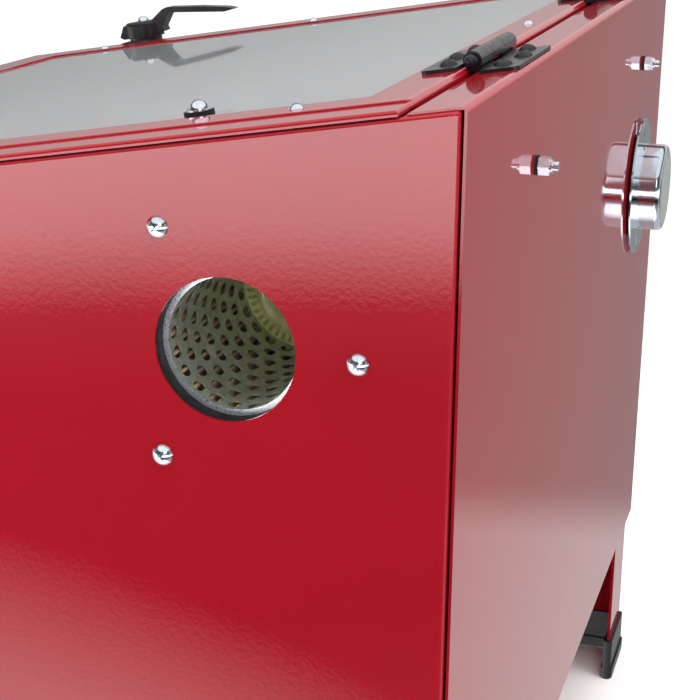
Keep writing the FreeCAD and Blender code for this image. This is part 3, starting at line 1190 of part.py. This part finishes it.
doc.recompute()
for obj in doc.Objects:
    if "Invalid" in obj.State or "Error" in obj.State:
        raise RuntimeError(f"{obj.Name} failed: {obj.State}")
os.makedirs("parts", exist_ok=True)
for name, obj in NODES.items():
    shape = obj.Shape
    if shape.isNull() or not shape.isValid() or not shape.Solids:
        raise RuntimeError(f"{name} has no valid solid")
    shape.exportStep(f"parts/{name}.step")
print(len(NODES), "pieces written")
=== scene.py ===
"""Looks of the bench-top blast cabinet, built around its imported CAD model, in metres and in its frame."""
import bmesh
import bpy
import json
import math
from mathutils import Matrix, Vector, noise


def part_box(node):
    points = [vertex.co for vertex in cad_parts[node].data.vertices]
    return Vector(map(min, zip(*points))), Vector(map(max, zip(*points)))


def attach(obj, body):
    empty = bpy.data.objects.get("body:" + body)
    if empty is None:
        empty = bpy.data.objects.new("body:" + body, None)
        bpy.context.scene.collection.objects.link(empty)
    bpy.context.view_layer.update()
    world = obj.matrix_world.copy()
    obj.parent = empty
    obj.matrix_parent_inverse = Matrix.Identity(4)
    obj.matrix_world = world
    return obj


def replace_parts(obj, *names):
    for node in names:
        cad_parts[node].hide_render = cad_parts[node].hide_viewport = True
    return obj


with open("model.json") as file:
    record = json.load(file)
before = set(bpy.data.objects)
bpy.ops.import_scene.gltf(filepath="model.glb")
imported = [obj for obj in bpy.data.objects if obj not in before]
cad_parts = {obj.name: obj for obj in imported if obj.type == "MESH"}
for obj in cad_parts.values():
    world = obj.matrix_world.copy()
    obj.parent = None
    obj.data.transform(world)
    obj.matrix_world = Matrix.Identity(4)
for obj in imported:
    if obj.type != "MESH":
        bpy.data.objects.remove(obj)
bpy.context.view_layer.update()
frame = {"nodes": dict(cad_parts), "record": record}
NODES = frame["nodes"]
MM = 0.001
MERGE = 0.02 * MM                         # vertices nearer than this are one
PATTERN_LOW, PATTERN_HIGH = 0.3, 0.7      # most of a noise pattern's values lie between these


# ---------------------------------------------------------------- material helpers

class Look:
    """A principled material whose patterns are placed in the model's own metres."""

    def __init__(self, name, colour, roughness, metallic=0.0, **sockets):
        self.material = bpy.data.materials.new(name)
        self.material.use_nodes = True
        self.tree = self.material.node_tree
        self.shader = self.tree.nodes["Principled BSDF"]
        self.coordinates = self.tree.nodes.new("ShaderNodeTexCoord").outputs["Object"]
        self.height = None
        self.set("Base Color", (*colour, 1))
        self.set("Roughness", roughness)
        self.set("Metallic", metallic)
        for socket, value in sockets.items():
            self.set(socket.replace("_", " "), value)

    def set(self, socket, value):
        self.shader.inputs[socket].default_value = value

    def node(self, kind, **settings):
        made = self.tree.nodes.new(kind)
        for key, value in settings.items():
            if key in made.inputs:
                made.inputs[key].default_value = value
            else:
                setattr(made, key, value)
        return made

    def link(self, output, socket):
        self.tree.links.new(output, socket)

    def noise(self, scale, detail=3.0, roughness=0.5):
        texture = self.node("ShaderNodeTexNoise", Scale=scale, Detail=detail, Roughness=roughness)
        self.link(self.coordinates, texture.inputs["Vector"])
        return texture.outputs["Fac"]

    def cells(self, scale):
        texture = self.node("ShaderNodeTexVoronoi", Scale=scale)
        self.link(self.coordinates, texture.inputs["Vector"])
        return texture

    def ramp(self, value, stops):
        ramp = self.node("ShaderNodeValToRGB")
        elements = ramp.color_ramp.elements
        while len(elements) < len(stops):
            elements.new(0.5)
        for element, (place, colour) in zip(elements, stops):
            element.position = place
            element.color = (*colour, 1)
        self.link(value, ramp.inputs["Fac"])
        return ramp.outputs["Color"]

    def colour(self, value, *stops):
        """Vary the base colour between stops along a pattern."""
        width = (PATTERN_HIGH - PATTERN_LOW) / (len(stops) - 1)
        steps = [(PATTERN_LOW + width * i, stop) for i, stop in enumerate(stops)]
        self.link(self.ramp(value, steps), self.shader.inputs["Base Color"])
        return self

    def rough(self, value, low, high):
        """Vary the roughness between two values along a pattern."""
        mapped = self.node("ShaderNodeMapRange")
        for socket, number in (("From Min", PATTERN_LOW), ("From Max", PATTERN_HIGH),
                               ("To Min", low), ("To Max", high)):
            mapped.inputs[socket].default_value = number
        self.link(value, mapped.inputs["Value"])
        self.link(mapped.outputs["Result"], self.shader.inputs["Roughness"])
        return self

    def bump(self, value, depth, strength=1.0):
        """Raise the surface by depth metres along a pattern; several bumps stack."""
        bump = self.node("ShaderNodeBump", Distance=depth, Strength=strength)
        self.link(value, bump.inputs["Height"])
        if self.height is not None:
            self.link(self.height, bump.inputs["Normal"])
        self.height = bump.outputs["Normal"]
        self.link(self.height, self.shader.inputs["Normal"])
        return self


def red_paint():
    """Powder coat under a clear gloss: the orange peel is in the gloss, the colour hardly varies."""
    look = Look("red_powder_coat", (0.26, 0.003, 0.012), 0.4,
                Coat_Weight=1.0, Coat_Roughness=0.025, Coat_IOR=1.5)
    look.set("Specular IOR Level", 0.02)
    look.colour(look.noise(9, 4), (0.232, 0.0035, 0.0095), (0.246, 0.0042, 0.0105), (0.238, 0.0038, 0.0098))
    look.rough(look.noise(60, 4), 0.36, 0.46)
    look.bump(look.noise(14, 1.5), 0.00005, 0.5)
    look.bump(look.noise(430, 1.5), 0.000012, 1.0)
    look.link(look.height, look.shader.inputs["Coat Normal"])
    return look


def galvanised():
    look = Look("galvanised_sheet", (0.66, 0.70, 0.66), 0.3, 0.9)
    spangle = look.cells(260)
    look.colour(look.noise(140, 6, 0.7), (0.58, 0.62, 0.57), (0.74, 0.78, 0.74), (0.66, 0.70, 0.65))
    look.rough(spangle.outputs["Color"], 0.2, 0.42)
    look.bump(look.noise(900, 3), 0.00002, 0.4)
    return look


def zinc_cup():
    """Blue-white passivated zinc, drawn smooth."""
    look = Look("passivated_zinc", (0.58, 0.64, 0.70), 0.1, 1.0)
    look.colour(look.noise(60, 4, 0.6), (0.52, 0.58, 0.64), (0.64, 0.70, 0.77))
    look.rough(look.noise(700, 4), 0.07, 0.14)
    look.bump(look.noise(900, 2), 0.000004, 0.5)
    return look


def zinc_face():
    """The same zinc where it was cast or blasted: matt and speckled."""
    look = Look("speckled_zinc", (0.50, 0.55, 0.52), 0.42, 0.75)
    look.colour(look.noise(520, 6, 0.8), (0.30, 0.36, 0.33), (0.55, 0.60, 0.56), (0.72, 0.75, 0.72))
    look.rough(look.noise(800, 4), 0.34, 0.55)
    look.bump(look.noise(1100, 4, 0.7), 0.00006, 0.7)
    return look


def punched_tube():
    """The filter's tube: dull zinc with a green cast."""
    look = Look("punched_zinc", (0.50, 0.53, 0.46), 0.36, 0.6)
    look.colour(look.noise(240, 6, 0.75), (0.34, 0.37, 0.31), (0.50, 0.53, 0.46), (0.62, 0.65, 0.58))
    look.rough(look.noise(500, 4), 0.28, 0.44)
    look.bump(look.noise(1300, 3), 0.00003, 0.5)
    return look


def zinc_ring():
    """Bright speckled ring at the filter's mouth."""
    look = Look("zinc_ring", (0.72, 0.75, 0.80), 0.3, 0.85)
    look.colour(look.noise(900, 5, 0.8), (0.50, 0.54, 0.60), (0.78, 0.81, 0.86), (0.86, 0.88, 0.92))
    look.rough(look.noise(1000, 4), 0.24, 0.42)
    look.bump(look.noise(1500, 3), 0.00003, 0.6)
    return look


def bright_zinc():
    look = Look("bright_zinc", (0.66, 0.71, 0.77), 0.14, 1.0)
    look.colour(look.noise(380, 4), (0.58, 0.63, 0.70), (0.72, 0.77, 0.83))
    look.rough(look.noise(900, 4), 0.09, 0.2)
    return look


def black_steel():
    look = Look("black_oxide_steel", (0.008, 0.008, 0.010), 0.3)
    look.set("Specular IOR Level", 0.32)
    look.colour(look.noise(300, 4), (0.005, 0.005, 0.007), (0.013, 0.013, 0.016))
    look.rough(look.noise(500, 3), 0.2, 0.34)
    look.bump(look.noise(1500, 3), 0.00002, 0.4)
    return look


def black_plastic():
    look = Look("black_nylon", (0.006, 0.006, 0.008), 0.36)
    look.set("Specular IOR Level", 0.36)
    look.colour(look.noise(120, 3), (0.004, 0.004, 0.006), (0.010, 0.010, 0.013))
    look.rough(look.noise(400, 3), 0.3, 0.44)
    look.bump(look.cells(1600).outputs["Distance"], 0.00003, 0.3)
    return look


def black_rubber():
    look = Look("black_rubber", (0.006, 0.006, 0.007), 0.62)
    look.set("Specular IOR Level", 0.3)
    look.colour(look.noise(90, 4), (0.004, 0.004, 0.005), (0.010, 0.010, 0.011))
    look.rough(look.noise(260, 4), 0.5, 0.74)
    look.bump(look.noise(1800, 3), 0.00006, 0.5)
    return look


def glove_rubber():
    look = Look("glove_neoprene", (0.03, 0.03, 0.032), 0.5, Sheen_Weight=0.15)
    look.colour(look.noise(40, 5), (0.018, 0.018, 0.020), (0.05, 0.05, 0.05))
    look.rough(look.noise(120, 4), 0.42, 0.62)
    look.bump(look.noise(60, 3), 0.0006, 0.6)
    look.bump(look.cells(700).outputs["Distance"], 0.00012, 0.5)
    return look


def foam():
    look = Look("grey_foam", (0.05, 0.05, 0.053), 0.95)
    look.colour(look.noise(500, 4), (0.03, 0.03, 0.032), (0.07, 0.07, 0.073))
    look.bump(look.cells(1400).outputs["Distance"], 0.0003, 0.9)
    return look


def clear_pane():
    """Polycarbonate under its protective film: clear, with a little haze."""
    look = Look("clear_pane", (0.80, 0.82, 0.84), 0.04, Transmission_Weight=0.82, IOR=1.5)
    look.colour(look.noise(6, 3), (0.74, 0.76, 0.78), (0.80, 0.82, 0.84))
    look.rough(look.noise(25, 4), 0.02, 0.05)
    look.bump(look.noise(7, 2), 0.0003, 0.08)
    return look


def frosted_lens():
    look = Look("frosted_lens", (0.88, 0.89, 0.88), 0.35, Transmission_Weight=0.7, IOR=1.5)
    look.rough(look.noise(200, 3), 0.3, 0.45)
    look.bump(look.cells(500).outputs["Distance"], 0.0001, 0.4)
    return look


def pleated_paper():
    look = Look("filter_paper", (0.42, 0.30, 0.17), 0.8, Sheen_Weight=0.2)
    look.colour(look.noise(160, 5), (0.42, 0.29, 0.16), (0.66, 0.52, 0.34))
    look.bump(look.noise(1500, 4), 0.00008, 0.7)
    return look


def olive_resin():
    look = Look("olive_resin", (0.50, 0.50, 0.18), 0.26, Coat_Weight=0.6, Coat_Roughness=0.08)
    look.colour(look.noise(90, 4), (0.42, 0.42, 0.13), (0.62, 0.61, 0.27))
    look.rough(look.noise(200, 4), 0.2, 0.4)
    look.bump(look.noise(130, 3), 0.0002, 0.4)
    return look


def white_enamel():
    look = Look("white_enamel", (0.80, 0.80, 0.78), 0.35)
    look.colour(look.noise(20, 3), (0.76, 0.76, 0.74), (0.83, 0.83, 0.82))
    look.bump(look.noise(300, 2), 0.00008, 0.3)
    return look


def opal_tube():
    look = Look("opal_tube", (0.9, 0.9, 0.88), 0.25)
    look.colour(look.noise(30, 2), (0.86, 0.86, 0.84), (0.93, 0.93, 0.91))
    look.rough(look.noise(80, 2), 0.2, 0.3)
    return look


def cast_alloy():
    look = Look("cast_alloy", (0.50, 0.51, 0.53), 0.42, 0.9)
    look.colour(look.noise(200, 5), (0.40, 0.41, 0.43), (0.60, 0.61, 0.63))
    look.rough(look.noise(500, 4), 0.36, 0.52)
    look.bump(look.cells(1500).outputs["Distance"], 0.00008, 0.6)
    return look


def ceramic():
    look = Look("fired_ceramic", (0.78, 0.75, 0.68), 0.4)
    look.colour(look.noise(260, 5), (0.70, 0.66, 0.58), (0.84, 0.82, 0.76))
    look.bump(look.noise(900, 3), 0.00004, 0.5)
    return look


def brass():
    look = Look("turned_brass", (0.70, 0.50, 0.20), 0.24, 1.0)
    look.colour(look.noise(180, 4), (0.58, 0.40, 0.15), (0.76, 0.57, 0.26))
    look.rough(look.noise(700, 3), 0.18, 0.34)
    return look


def red_plastic():
    look = Look("red_switch_plastic", (0.50, 0.012, 0.012), 0.25)
    look.colour(look.noise(120, 2), (0.44, 0.010, 0.010), (0.54, 0.016, 0.015))
    look.bump(look.noise(1200, 2), 0.00002, 0.4)
    return look


LOOKS = {
    "red_paint": red_paint(), "galvanised": galvanised(), "zinc_fastener": bright_zinc(),
    "black_steel": black_steel(), "black_plastic": black_plastic(), "black_rubber": black_rubber(),
    "grey_foam": foam(), "clear_pane": clear_pane(), "lens": frosted_lens(),
    "filter_paper": pleated_paper(), "olive_resin": olive_resin(), "white_paint": white_enamel(),
    "lamp": opal_tube(), "gun_alloy": cast_alloy(), "ceramic": ceramic(), "brass": brass(),
    "red_plastic": red_plastic()}
GLOVE_LOOK = glove_rubber()
TUBE_LOOK = punched_tube()
SLOT_OF = {part["node"]: part["material_slot"] for part in frame["record"]["subparts"]}


def dress(obj, look):
    obj.data.materials.clear()
    obj.data.materials.append(look.material)


for name, obj in NODES.items():
    dress(obj, LOOKS[SLOT_OF[name]])
for name, look in (("dust_port", zinc_cup()), ("filter_end_plate", zinc_ring())):
    dress(NODES[name], look)

# The cap's flat end is speckled and its side is smooth: a face is on the end when it looks straight back.
STRAIGHT_BACK = 0.97
cap_mesh = NODES["port_cap"].data
cap_mesh.materials.clear()
for look in (zinc_cup(), zinc_face()):
    cap_mesh.materials.append(look.material)
for polygon in cap_mesh.polygons:
    polygon.material_index = int(polygon.normal.y > STRAIGHT_BACK)


# ---------------------------------------------------------------- mesh helpers

def new_piece(name, mesh, look, body, *replaced, slot=None):
    """Show a mesh as a piece of the object, riding on a body and standing for CAD nodes."""
    obj = bpy.data.objects.new(name, mesh)
    bpy.context.scene.collection.objects.link(obj)
    dress(obj, look)
    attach(obj, body)
    if replaced:
        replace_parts(obj, *replaced)
    return obj


def mesh_from(bm, name):
    mesh = bpy.data.meshes.new(name)
    bm.to_mesh(mesh)
    bm.free()
    for polygon in mesh.polygons:
        polygon.use_smooth = True
    return mesh


def apply_modifiers(obj):
    """Bake the piece's modifiers into its mesh."""
    graph = bpy.context.evaluated_depsgraph_get()
    baked = bpy.data.meshes.new_from_object(obj.evaluated_get(graph))
    obj.modifiers.clear()
    obj.data = baked


def join_rings(bm, first, second):
    """A band of four-sided faces between two closed rings of vertices."""
    for i in range(len(first)):
        j = (i + 1) % len(first)
        bm.faces.new((first[i], first[j], second[j], second[i]))


def thicken(piece, wall, offset=0.0):
    """Give a surface a wall, and bake it in."""
    solid = piece.modifiers.new("wall", "SOLIDIFY")
    solid.thickness = wall
    solid.offset = offset
    apply_modifiers(piece)


# ---------------------------------------------------------------- dust filter

core_low, core_high = (Vector(v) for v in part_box("filter_core"))
FILTER_AXIS = ((core_low.y + core_high.y) / 2, (core_low.z + core_high.z) / 2)
CORE_RADIUS = (core_high.y - core_low.y) / 2
CORE_ENDS = (core_low.x, core_high.x)
PLEATS = 48


def round_the_filter(along, radius, angle):
    """A point at an angle round the filter's axis."""
    return Vector((along, FILTER_AXIS[0] + radius * math.cos(angle),
                   FILTER_AXIS[1] + radius * math.sin(angle)))


def perforated_core():
    """The punched tube: a staggered grid of cells, each a ring of faces round its hole."""
    columns, rows, wall, hole = 21, 8, 0.8 * MM, (2.75 * MM, 4.1 * MM)
    radius = CORE_RADIUS - wall / 2
    pitch_round, pitch_along = 2 * math.pi * radius / columns, (CORE_ENDS[1] - CORE_ENDS[0]) / rows
    # A cell's outline, four points to a side, in half cells from its middle.
    rim = [(x / 2 - 1, -1) for x in range(4)] + [(1, y / 2 - 1) for y in range(4)] \
        + [(1 - x / 2, 1) for x in range(4)] + [(-1, 1 - y / 2) for y in range(4)]
    bm = bmesh.new()
    for row in range(rows):
        for column in range(columns):
            centre_round = (column + 0.5 * (row % 2)) * pitch_round
            centre_along = CORE_ENDS[0] + (row + 0.5) * pitch_along

            def vertex(across, along):
                angle = (centre_round + across) / radius
                return bm.verts.new(round_the_filter(centre_along + along, radius, angle))

            outer = [vertex(a * pitch_round / 2, b * pitch_along / 2) for a, b in rim]
            inner = []
            for a, b in rim:
                angle = math.atan2(b, a)
                inner.append(vertex(hole[0] * math.cos(angle), hole[1] * math.sin(angle)))
            join_rings(bm, outer, inner)
    bmesh.ops.remove_doubles(bm, verts=bm.verts, dist=MERGE)
    bmesh.ops.recalc_face_normals(bm, faces=bm.faces)
    piece = new_piece("filter_core_punched", mesh_from(bm, "filter_core_punched"), TUBE_LOOK,
                      "cabinet", "filter_core", slot="galvanised")
    thicken(piece, wall)
    piece.data.set_sharp_from_angle(angle=math.radians(40))


def pleats():
    """Folded paper between the core and the outside, with rounded folds."""
    steps, stations = 12, 7
    inner, outer = CORE_RADIUS + 0.7 * MM, 44 * MM
    squareness, fold_depth, paper, waver = 2.2, 0.96, 0.4 * MM, 0.25 * MM
    points = PLEATS * steps
    bm = bmesh.new()
    rings = []
    for station in range(stations):
        along = CORE_ENDS[0] + (CORE_ENDS[1] - CORE_ENDS[0]) * station / (stations - 1)
        ring = []
        for i in range(points):
            phase = 2 * math.pi * i / steps
            wave = math.tanh(squareness * math.cos(phase)) / math.tanh(squareness)
            wobble = waver * noise.noise(Vector((i / steps * 0.8, station * 0.9, 0)))
            radius = (inner + outer) / 2 + (outer - inner) / 2 * wave * fold_depth
            angle = 2 * math.pi * i / points + wobble / radius
            ring.append(bm.verts.new(round_the_filter(along, radius, angle)))
        rings.append(ring)
    for first, second in zip(rings, rings[1:]):
        join_rings(bm, first, second)
    piece = new_piece("filter_pleats_folded", mesh_from(bm, "filter_pleats_folded"), LOOKS["filter_paper"],
                      "cabinet", "filter_pleats", slot="filter_paper")
    thicken(piece, paper)


def end_cap():
    """Cast resin cap: concentric ridges, and teeth where the resin crept between the pleats."""
    low, high = (Vector(v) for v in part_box("filter_end_cap"))
    rim, face, back, bore = (high.y - low.y) / 2, CORE_ENDS[0], low.x, 3.1 * MM
    turns, steps = 384, 44
    back_edge, face_edge = 1.5 * MM, 1.2 * MM
    profile = [(bore, back), (rim - back_edge, back), (rim, back + back_edge),
               (rim, face - face_edge), (rim - face_edge, face)]
    tooth_from, tooth_to, tooth_height = 24.2 * MM, CORE_RADIUS - 0.85 * MM, 2.6 * MM
    ridges, ridge, dish_deep, dish_radius = (11, 17, 22), 0.9 * MM, 2.2 * MM, 10 * MM
    inner = []
    for i in range(steps + 1):
        radius = tooth_to + (bore - tooth_to) * i / steps
        swell = ridge * sum(math.exp(-((radius - at * MM) / ridge) ** 2) for at in ridges)
        dish = -dish_deep * max(0.0, 1 - radius / dish_radius)
        inner.append((radius, face + swell + dish))
    bm = bmesh.new()
    rings = []
    for radius, along in profile + inner:
        ring = []
        for i in range(turns):
            angle = 2 * math.pi * i / turns
            lift = 0.0
            if tooth_from < radius <= tooth_to + MERGE / 2 and along >= face - 0.1 * MM:
                depth = math.sin(math.pi * min(1, (radius - tooth_from) / (tooth_to - tooth_from) + 0.15))
                lift = tooth_height * max(0.0, math.cos(PLEATS * angle)) * max(0.0, depth)
            ring.append(bm.verts.new(round_the_filter(along + lift, radius, angle)))
        rings.append(ring)
    for first, second in zip(rings, rings[1:] + rings[:1]):
        join_rings(bm, first, second)
    bmesh.ops.recalc_face_normals(bm, faces=bm.faces)
    piece = new_piece("filter_end_cap_cast", mesh_from(bm, "filter_end_cap_cast"), LOOKS["olive_resin"],
                      "cabinet", "filter_end_cap", slot="olive_resin")
    piece.data.set_sharp_from_angle(angle=math.radians(50))


perforated_core()
pleats()
end_cap()


# ---------------------------------------------------------------- gloves

gloves_low, gloves_high = (Vector(v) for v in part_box("gloves"))
CUFF = 80.4 * MM
# The rubber is slack between these depths, and goes slack and taut again over these lengths.
SLACK_FROM, SLACK_TO, SLACK_IN, SLACK_OUT = 0.05, 0.345, 0.03, 0.05
CREASE_RATE, CREASE_DEEP, DENT_DEEP = 230, 3.4, 4.2
FINGER_RADIUS, THUMB_RADIUS, GLOVE_WALL = 9.6, 10.5, 1.2 * MM
# Depth in from the cuff, height above the floor, half width, half height, all in millimetres.
SLEEVE = [(0, 262, 80.2, 80.2), (30, 262, 80.2, 80.2), (52, 262, 75, 75), (162, 252, 61, 61),
          (272, 238, 46, 44), (312, 228, 42, 26), (345, 220, 45, 21), (368, 217, 42, 18)]
# Sideways place and depth of each finger's tip.
FINGERS = ((-31, 398), (-10.5, 406), (10.5, 405), (30.5, 392))


def along_the_sleeve(depth):
    """Height and half sizes of the sleeve at a depth in from the cuff, in metres."""
    for (a, *low), (b, *high) in zip(SLEEVE, SLEEVE[1:]):
        if depth <= b * MM:
            share = (depth / MM - a) / (b - a)
            share = share * share * (3 - 2 * share)
            return [(p + (q - p) * share) * MM for p, q in zip(low, high)]
    return [v * MM for v in SLEEVE[-1][1:]]


def glove(side, word):
    """A long gauntlet: creased sleeve, flat hand, four fingers and a thumb, open at the cuff."""
    middle = side * (gloves_high.x - CUFF)
    start = gloves_low.y
    bm = bmesh.new()
    rings = []
    stations, turns = 75, 80
    for i in range(stations):
        depth = SLEEVE[-1][0] * MM * i / (stations - 1)
        height, half_x, half_z = along_the_sleeve(depth)
        slack = min(1, max(0, (depth - SLACK_FROM) / SLACK_IN)) \
            * min(1, max(0, (SLACK_TO - depth) / SLACK_OUT))
        ring = []
        for j in range(turns):
            angle = 2 * math.pi * j / turns
            across, up = math.cos(angle), math.sin(angle)
            twist = noise.noise(Vector((across * 1.3 + side, up * 1.3, depth * 11)))
            crease = 0.5 + 0.5 * math.sin(depth * CREASE_RATE + 3.4 * twist + 0.9 * across)
            dent = slack * (CREASE_DEEP * crease + DENT_DEEP * abs(twist)) * MM
            ring.append(bm.verts.new((middle + (half_x - dent) * across, start + depth,
                                      height + (half_z - dent) * up)))
        rings.append(ring)
    for first, second in zip(rings, rings[1:]):
        join_rings(bm, first, second)
    for ring in (rings[0], rings[-1]):
        bm.faces.new(ring)
    fingers = [((x, 352, 218), (x * 1.12, reach, 213), FINGER_RADIUS) for x, reach in FINGERS]
    fingers.append(((-side * 30, 312, 226), (-side * 43, 366, 212), THUMB_RADIUS))
    beads, narrowing, knuckle = 12, 0.12, 0.5 * MM
    for foot, tip, radius in fingers:
        foot, tip = Vector(foot) * MM, Vector(tip) * MM
        for bead in range(beads):
            at = foot.lerp(tip, bead / (beads - 1))
            place = Matrix.Translation((middle + at.x, start + at.y, at.z - knuckle * math.sin(bead * 0.9)))
            size = radius * (1 - narrowing * bead / (beads - 1)) * MM
            bmesh.ops.create_uvsphere(bm, u_segments=14, v_segments=9, radius=size, matrix=place)
    bmesh.ops.recalc_face_normals(bm, faces=bm.faces)
    piece = new_piece("glove_" + word, mesh_from(bm, "glove_" + word), GLOVE_LOOK,
                      "cabinet", slot="black_rubber")
    fused = piece.modifiers.new("fused", "REMESH")
    fused.mode = "VOXEL"
    fused.voxel_size = 3.6 * MM
    softer = piece.modifiers.new("softer", "SMOOTH")
    softer.iterations = 3
    apply_modifiers(piece)
    opened = bmesh.new()
    opened.from_mesh(piece.data)
    mouth = [face for face in opened.faces if face.calc_center_median().y < start + 2.2 * MM]
    bmesh.ops.delete(opened, geom=mouth, context="FACES")
    opened.to_mesh(piece.data)
    opened.free()
    thicken(piece, GLOVE_WALL, offset=-1)
    for polygon in piece.data.polygons:
        polygon.use_smooth = True
    return piece


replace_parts(glove(1, "right"), "gloves")
glove(-1, "left")


# ---------------------------------------------------------------- camera, light and floor

CAMERA_AT = (0.8817, 0.3732, 0.6186)
CAMERA_TURN = (72.215, -0.676, 107.323)      # degrees
LENS, SENSOR = 85.0, 36.0                    # millimetres
FLOOR_HALF = 1.25


def add_camera():
    data = bpy.data.cameras.new("camera")
    data.lens = LENS
    data.sensor_width = SENSOR
    data.clip_start, data.clip_end = 0.01, 50
    camera = bpy.data.objects.new("camera", data)
    camera.location = CAMERA_AT
    camera.rotation_euler = [math.radians(a) for a in CAMERA_TURN]
    bpy.context.scene.collection.objects.link(camera)
    bpy.context.scene.camera = camera


def area_light(name, at, look_at, size, power, glossy=True):
    data = bpy.data.lights.new(name, "AREA")
    data.shape = "RECTANGLE"
    data.size, data.size_y = size
    data.energy = power
    light = bpy.data.objects.new(name, data)
    light.location = at
    light.rotation_euler = (Vector(look_at) - Vector(at)).to_track_quat("-Z", "Y").to_euler()
    light.visible_glossy = glossy
    light.visible_camera = False
    bpy.context.scene.collection.objects.link(light)


# Brightness of the studio against height: -1 is straight down and 1 straight up.
BACKDROP = [(-1, 0.7), (-0.405, 0.68), (-0.38, 0.30), (-0.05, 0.30), (0.05, 0.5), (0.13, 0.76),
            (0.32, 0.8), (0.45, 0.12), (0.6, 0.1), (0.66, 1.2), (1, 1.2)]
NEAR_SIDE = [(-1, 0.9), (-0.6, 0.3), (-0.45, 0.0), (-0.33, 0.06), (-0.28, 0.3), (-0.235, 4.2), (-0.19, 5.4),
             (-0.08, 5.6), (-0.02, 0.2), (0.3, 0.06), (0.5, 0.1), (0.62, 1.2), (1, 1.2)]
SIDE_BLEND = [(-0.1, 0), (0.35, 1)]
PATCH_TOWARDS, PATCH_EDGE, PATCH_LEVEL = (0, -8, -20), (11.68, 13.1), 2.5
FILL_LEVEL, WHITE_LEVEL = 0.66, 1.1


def add_world():
    """White behind the object and grey for its fill. Only reflections see the studio.

    One side of the studio is a pale backdrop. The other, beside the camera, is dark with a bright band
    just under eye level and a bright ceiling.
    """
    world = bpy.data.worlds.new("studio")
    bpy.context.scene.world = world
    world.use_nodes = True
    tree = world.node_tree
    tree.nodes.clear()

    def node(kind, **settings):
        made = tree.nodes.new(kind)
        for key, value in settings.items():
            setattr(made, key, value)
        return made

    def ramp(source, stops):
        made = node("ShaderNodeValToRGB")
        elements = made.color_ramp.elements
        while len(elements) < len(stops):
            elements.new(0.5)
        for element, (place, value) in zip(elements, stops):
            element.position = place
            element.color = (value, value, value, 1)
        tree.links.new(source, made.inputs["Fac"])
        return made.outputs["Color"]

    def along_axis(source, stops):
        """A ramp over one part of the direction, which runs from -1 to 1."""
        scaled = node("ShaderNodeMapRange")
        scaled.inputs["From Min"].default_value = -1
        scaled.inputs["From Max"].default_value = 1
        tree.links.new(source, scaled.inputs["Value"])
        return ramp(scaled.outputs["Result"], [((z + 1) / 2, v) for z, v in stops])

    direction = node("ShaderNodeTexCoord").outputs["Generated"]
    parts = node("ShaderNodeSeparateXYZ")
    tree.links.new(direction, parts.inputs["Vector"])
    backdrop = along_axis(parts.outputs["Z"], BACKDROP)
    near_side = along_axis(parts.outputs["Z"], NEAR_SIDE)
    low_left = node("ShaderNodeVectorMath", operation="DOT_PRODUCT")
    low_left.inputs[1].default_value = PATCH_TOWARDS
    tree.links.new(direction, low_left.inputs[0])
    patch = node("ShaderNodeMapRange")
    for socket, number in (("From Min", PATCH_EDGE[0]), ("From Max", PATCH_EDGE[1]),
                           ("To Min", 0), ("To Max", PATCH_LEVEL)):
        patch.inputs[socket].default_value = number
    tree.links.new(low_left.outputs["Value"], patch.inputs["Value"])
    lit_side = node("ShaderNodeMixRGB", blend_type="ADD")
    lit_side.inputs["Fac"].default_value = 1
    tree.links.new(near_side, lit_side.inputs["Color1"])
    tree.links.new(patch.outputs["Result"], lit_side.inputs["Color2"])
    side = along_axis(parts.outputs["X"], SIDE_BLEND)
    studio = node("ShaderNodeMixRGB")
    tree.links.new(side, studio.inputs["Fac"])
    tree.links.new(backdrop, studio.inputs["Color1"])
    tree.links.new(lit_side.outputs["Color"], studio.inputs["Color2"])
    paths = node("ShaderNodeLightPath")
    plain = node("ShaderNodeMixRGB")
    plain.inputs["Color1"].default_value = (FILL_LEVEL, FILL_LEVEL, FILL_LEVEL, 1)
    plain.inputs["Color2"].default_value = (WHITE_LEVEL, WHITE_LEVEL, WHITE_LEVEL, 1)
    tree.links.new(paths.outputs["Is Camera Ray"], plain.inputs["Fac"])
    chosen = node("ShaderNodeMixRGB")
    tree.links.new(plain.outputs["Color"], chosen.inputs["Color1"])
    tree.links.new(paths.outputs["Is Glossy Ray"], chosen.inputs["Fac"])
    tree.links.new(studio.outputs["Color"], chosen.inputs["Color2"])
    background = node("ShaderNodeBackground")
    tree.links.new(chosen.outputs["Color"], background.inputs["Color"])
    output = node("ShaderNodeOutputWorld")
    tree.links.new(background.outputs["Background"], output.inputs["Surface"])


def add_floor():
    bm = bmesh.new()
    bmesh.ops.create_grid(bm, x_segments=2, y_segments=2, size=FLOOR_HALF)
    floor = bpy.data.objects.new("floor", mesh_from(bm, "floor"))
    bpy.context.scene.collection.objects.link(floor)
    look = Look("pale_floor", (0.8, 0.8, 0.8), 0.9)
    look.colour(look.noise(2, 2), (0.79, 0.79, 0.79), (0.81, 0.81, 0.81))
    dress(floor, look)
    floor.visible_glossy = False


add_camera()
add_world()
add_floor()
# Name, place, the point that it looks at, size and power.
area_light("overhead", (0.1, 0.3, 2.4), (0, 0, 0.4), (2.0, 2.0), 80, glossy=False)
area_light("near_side", (0.68, -0.28, 0.52), (0.3, 0.05, 0.35), (0.3, 0.5), 2.0, glossy=False)
area_light("behind", (0.5, 1.8, 0.9), (0, 0.2, 0.3), (1.2, 0.8), 18, glossy=False)
area_light("camera_side", (1.1, 0.66, 0.88), (0.3, 0.14, 0.42), (0.5, 0.5), 1.6)
area_light("into_filter", (1.1, 0.2, 0.52), (0.2, 0.142, 0.418), (0.2, 0.2), 1.0, glossy=False)
bpy.context.scene.view_settings.view_transform = "Standard"
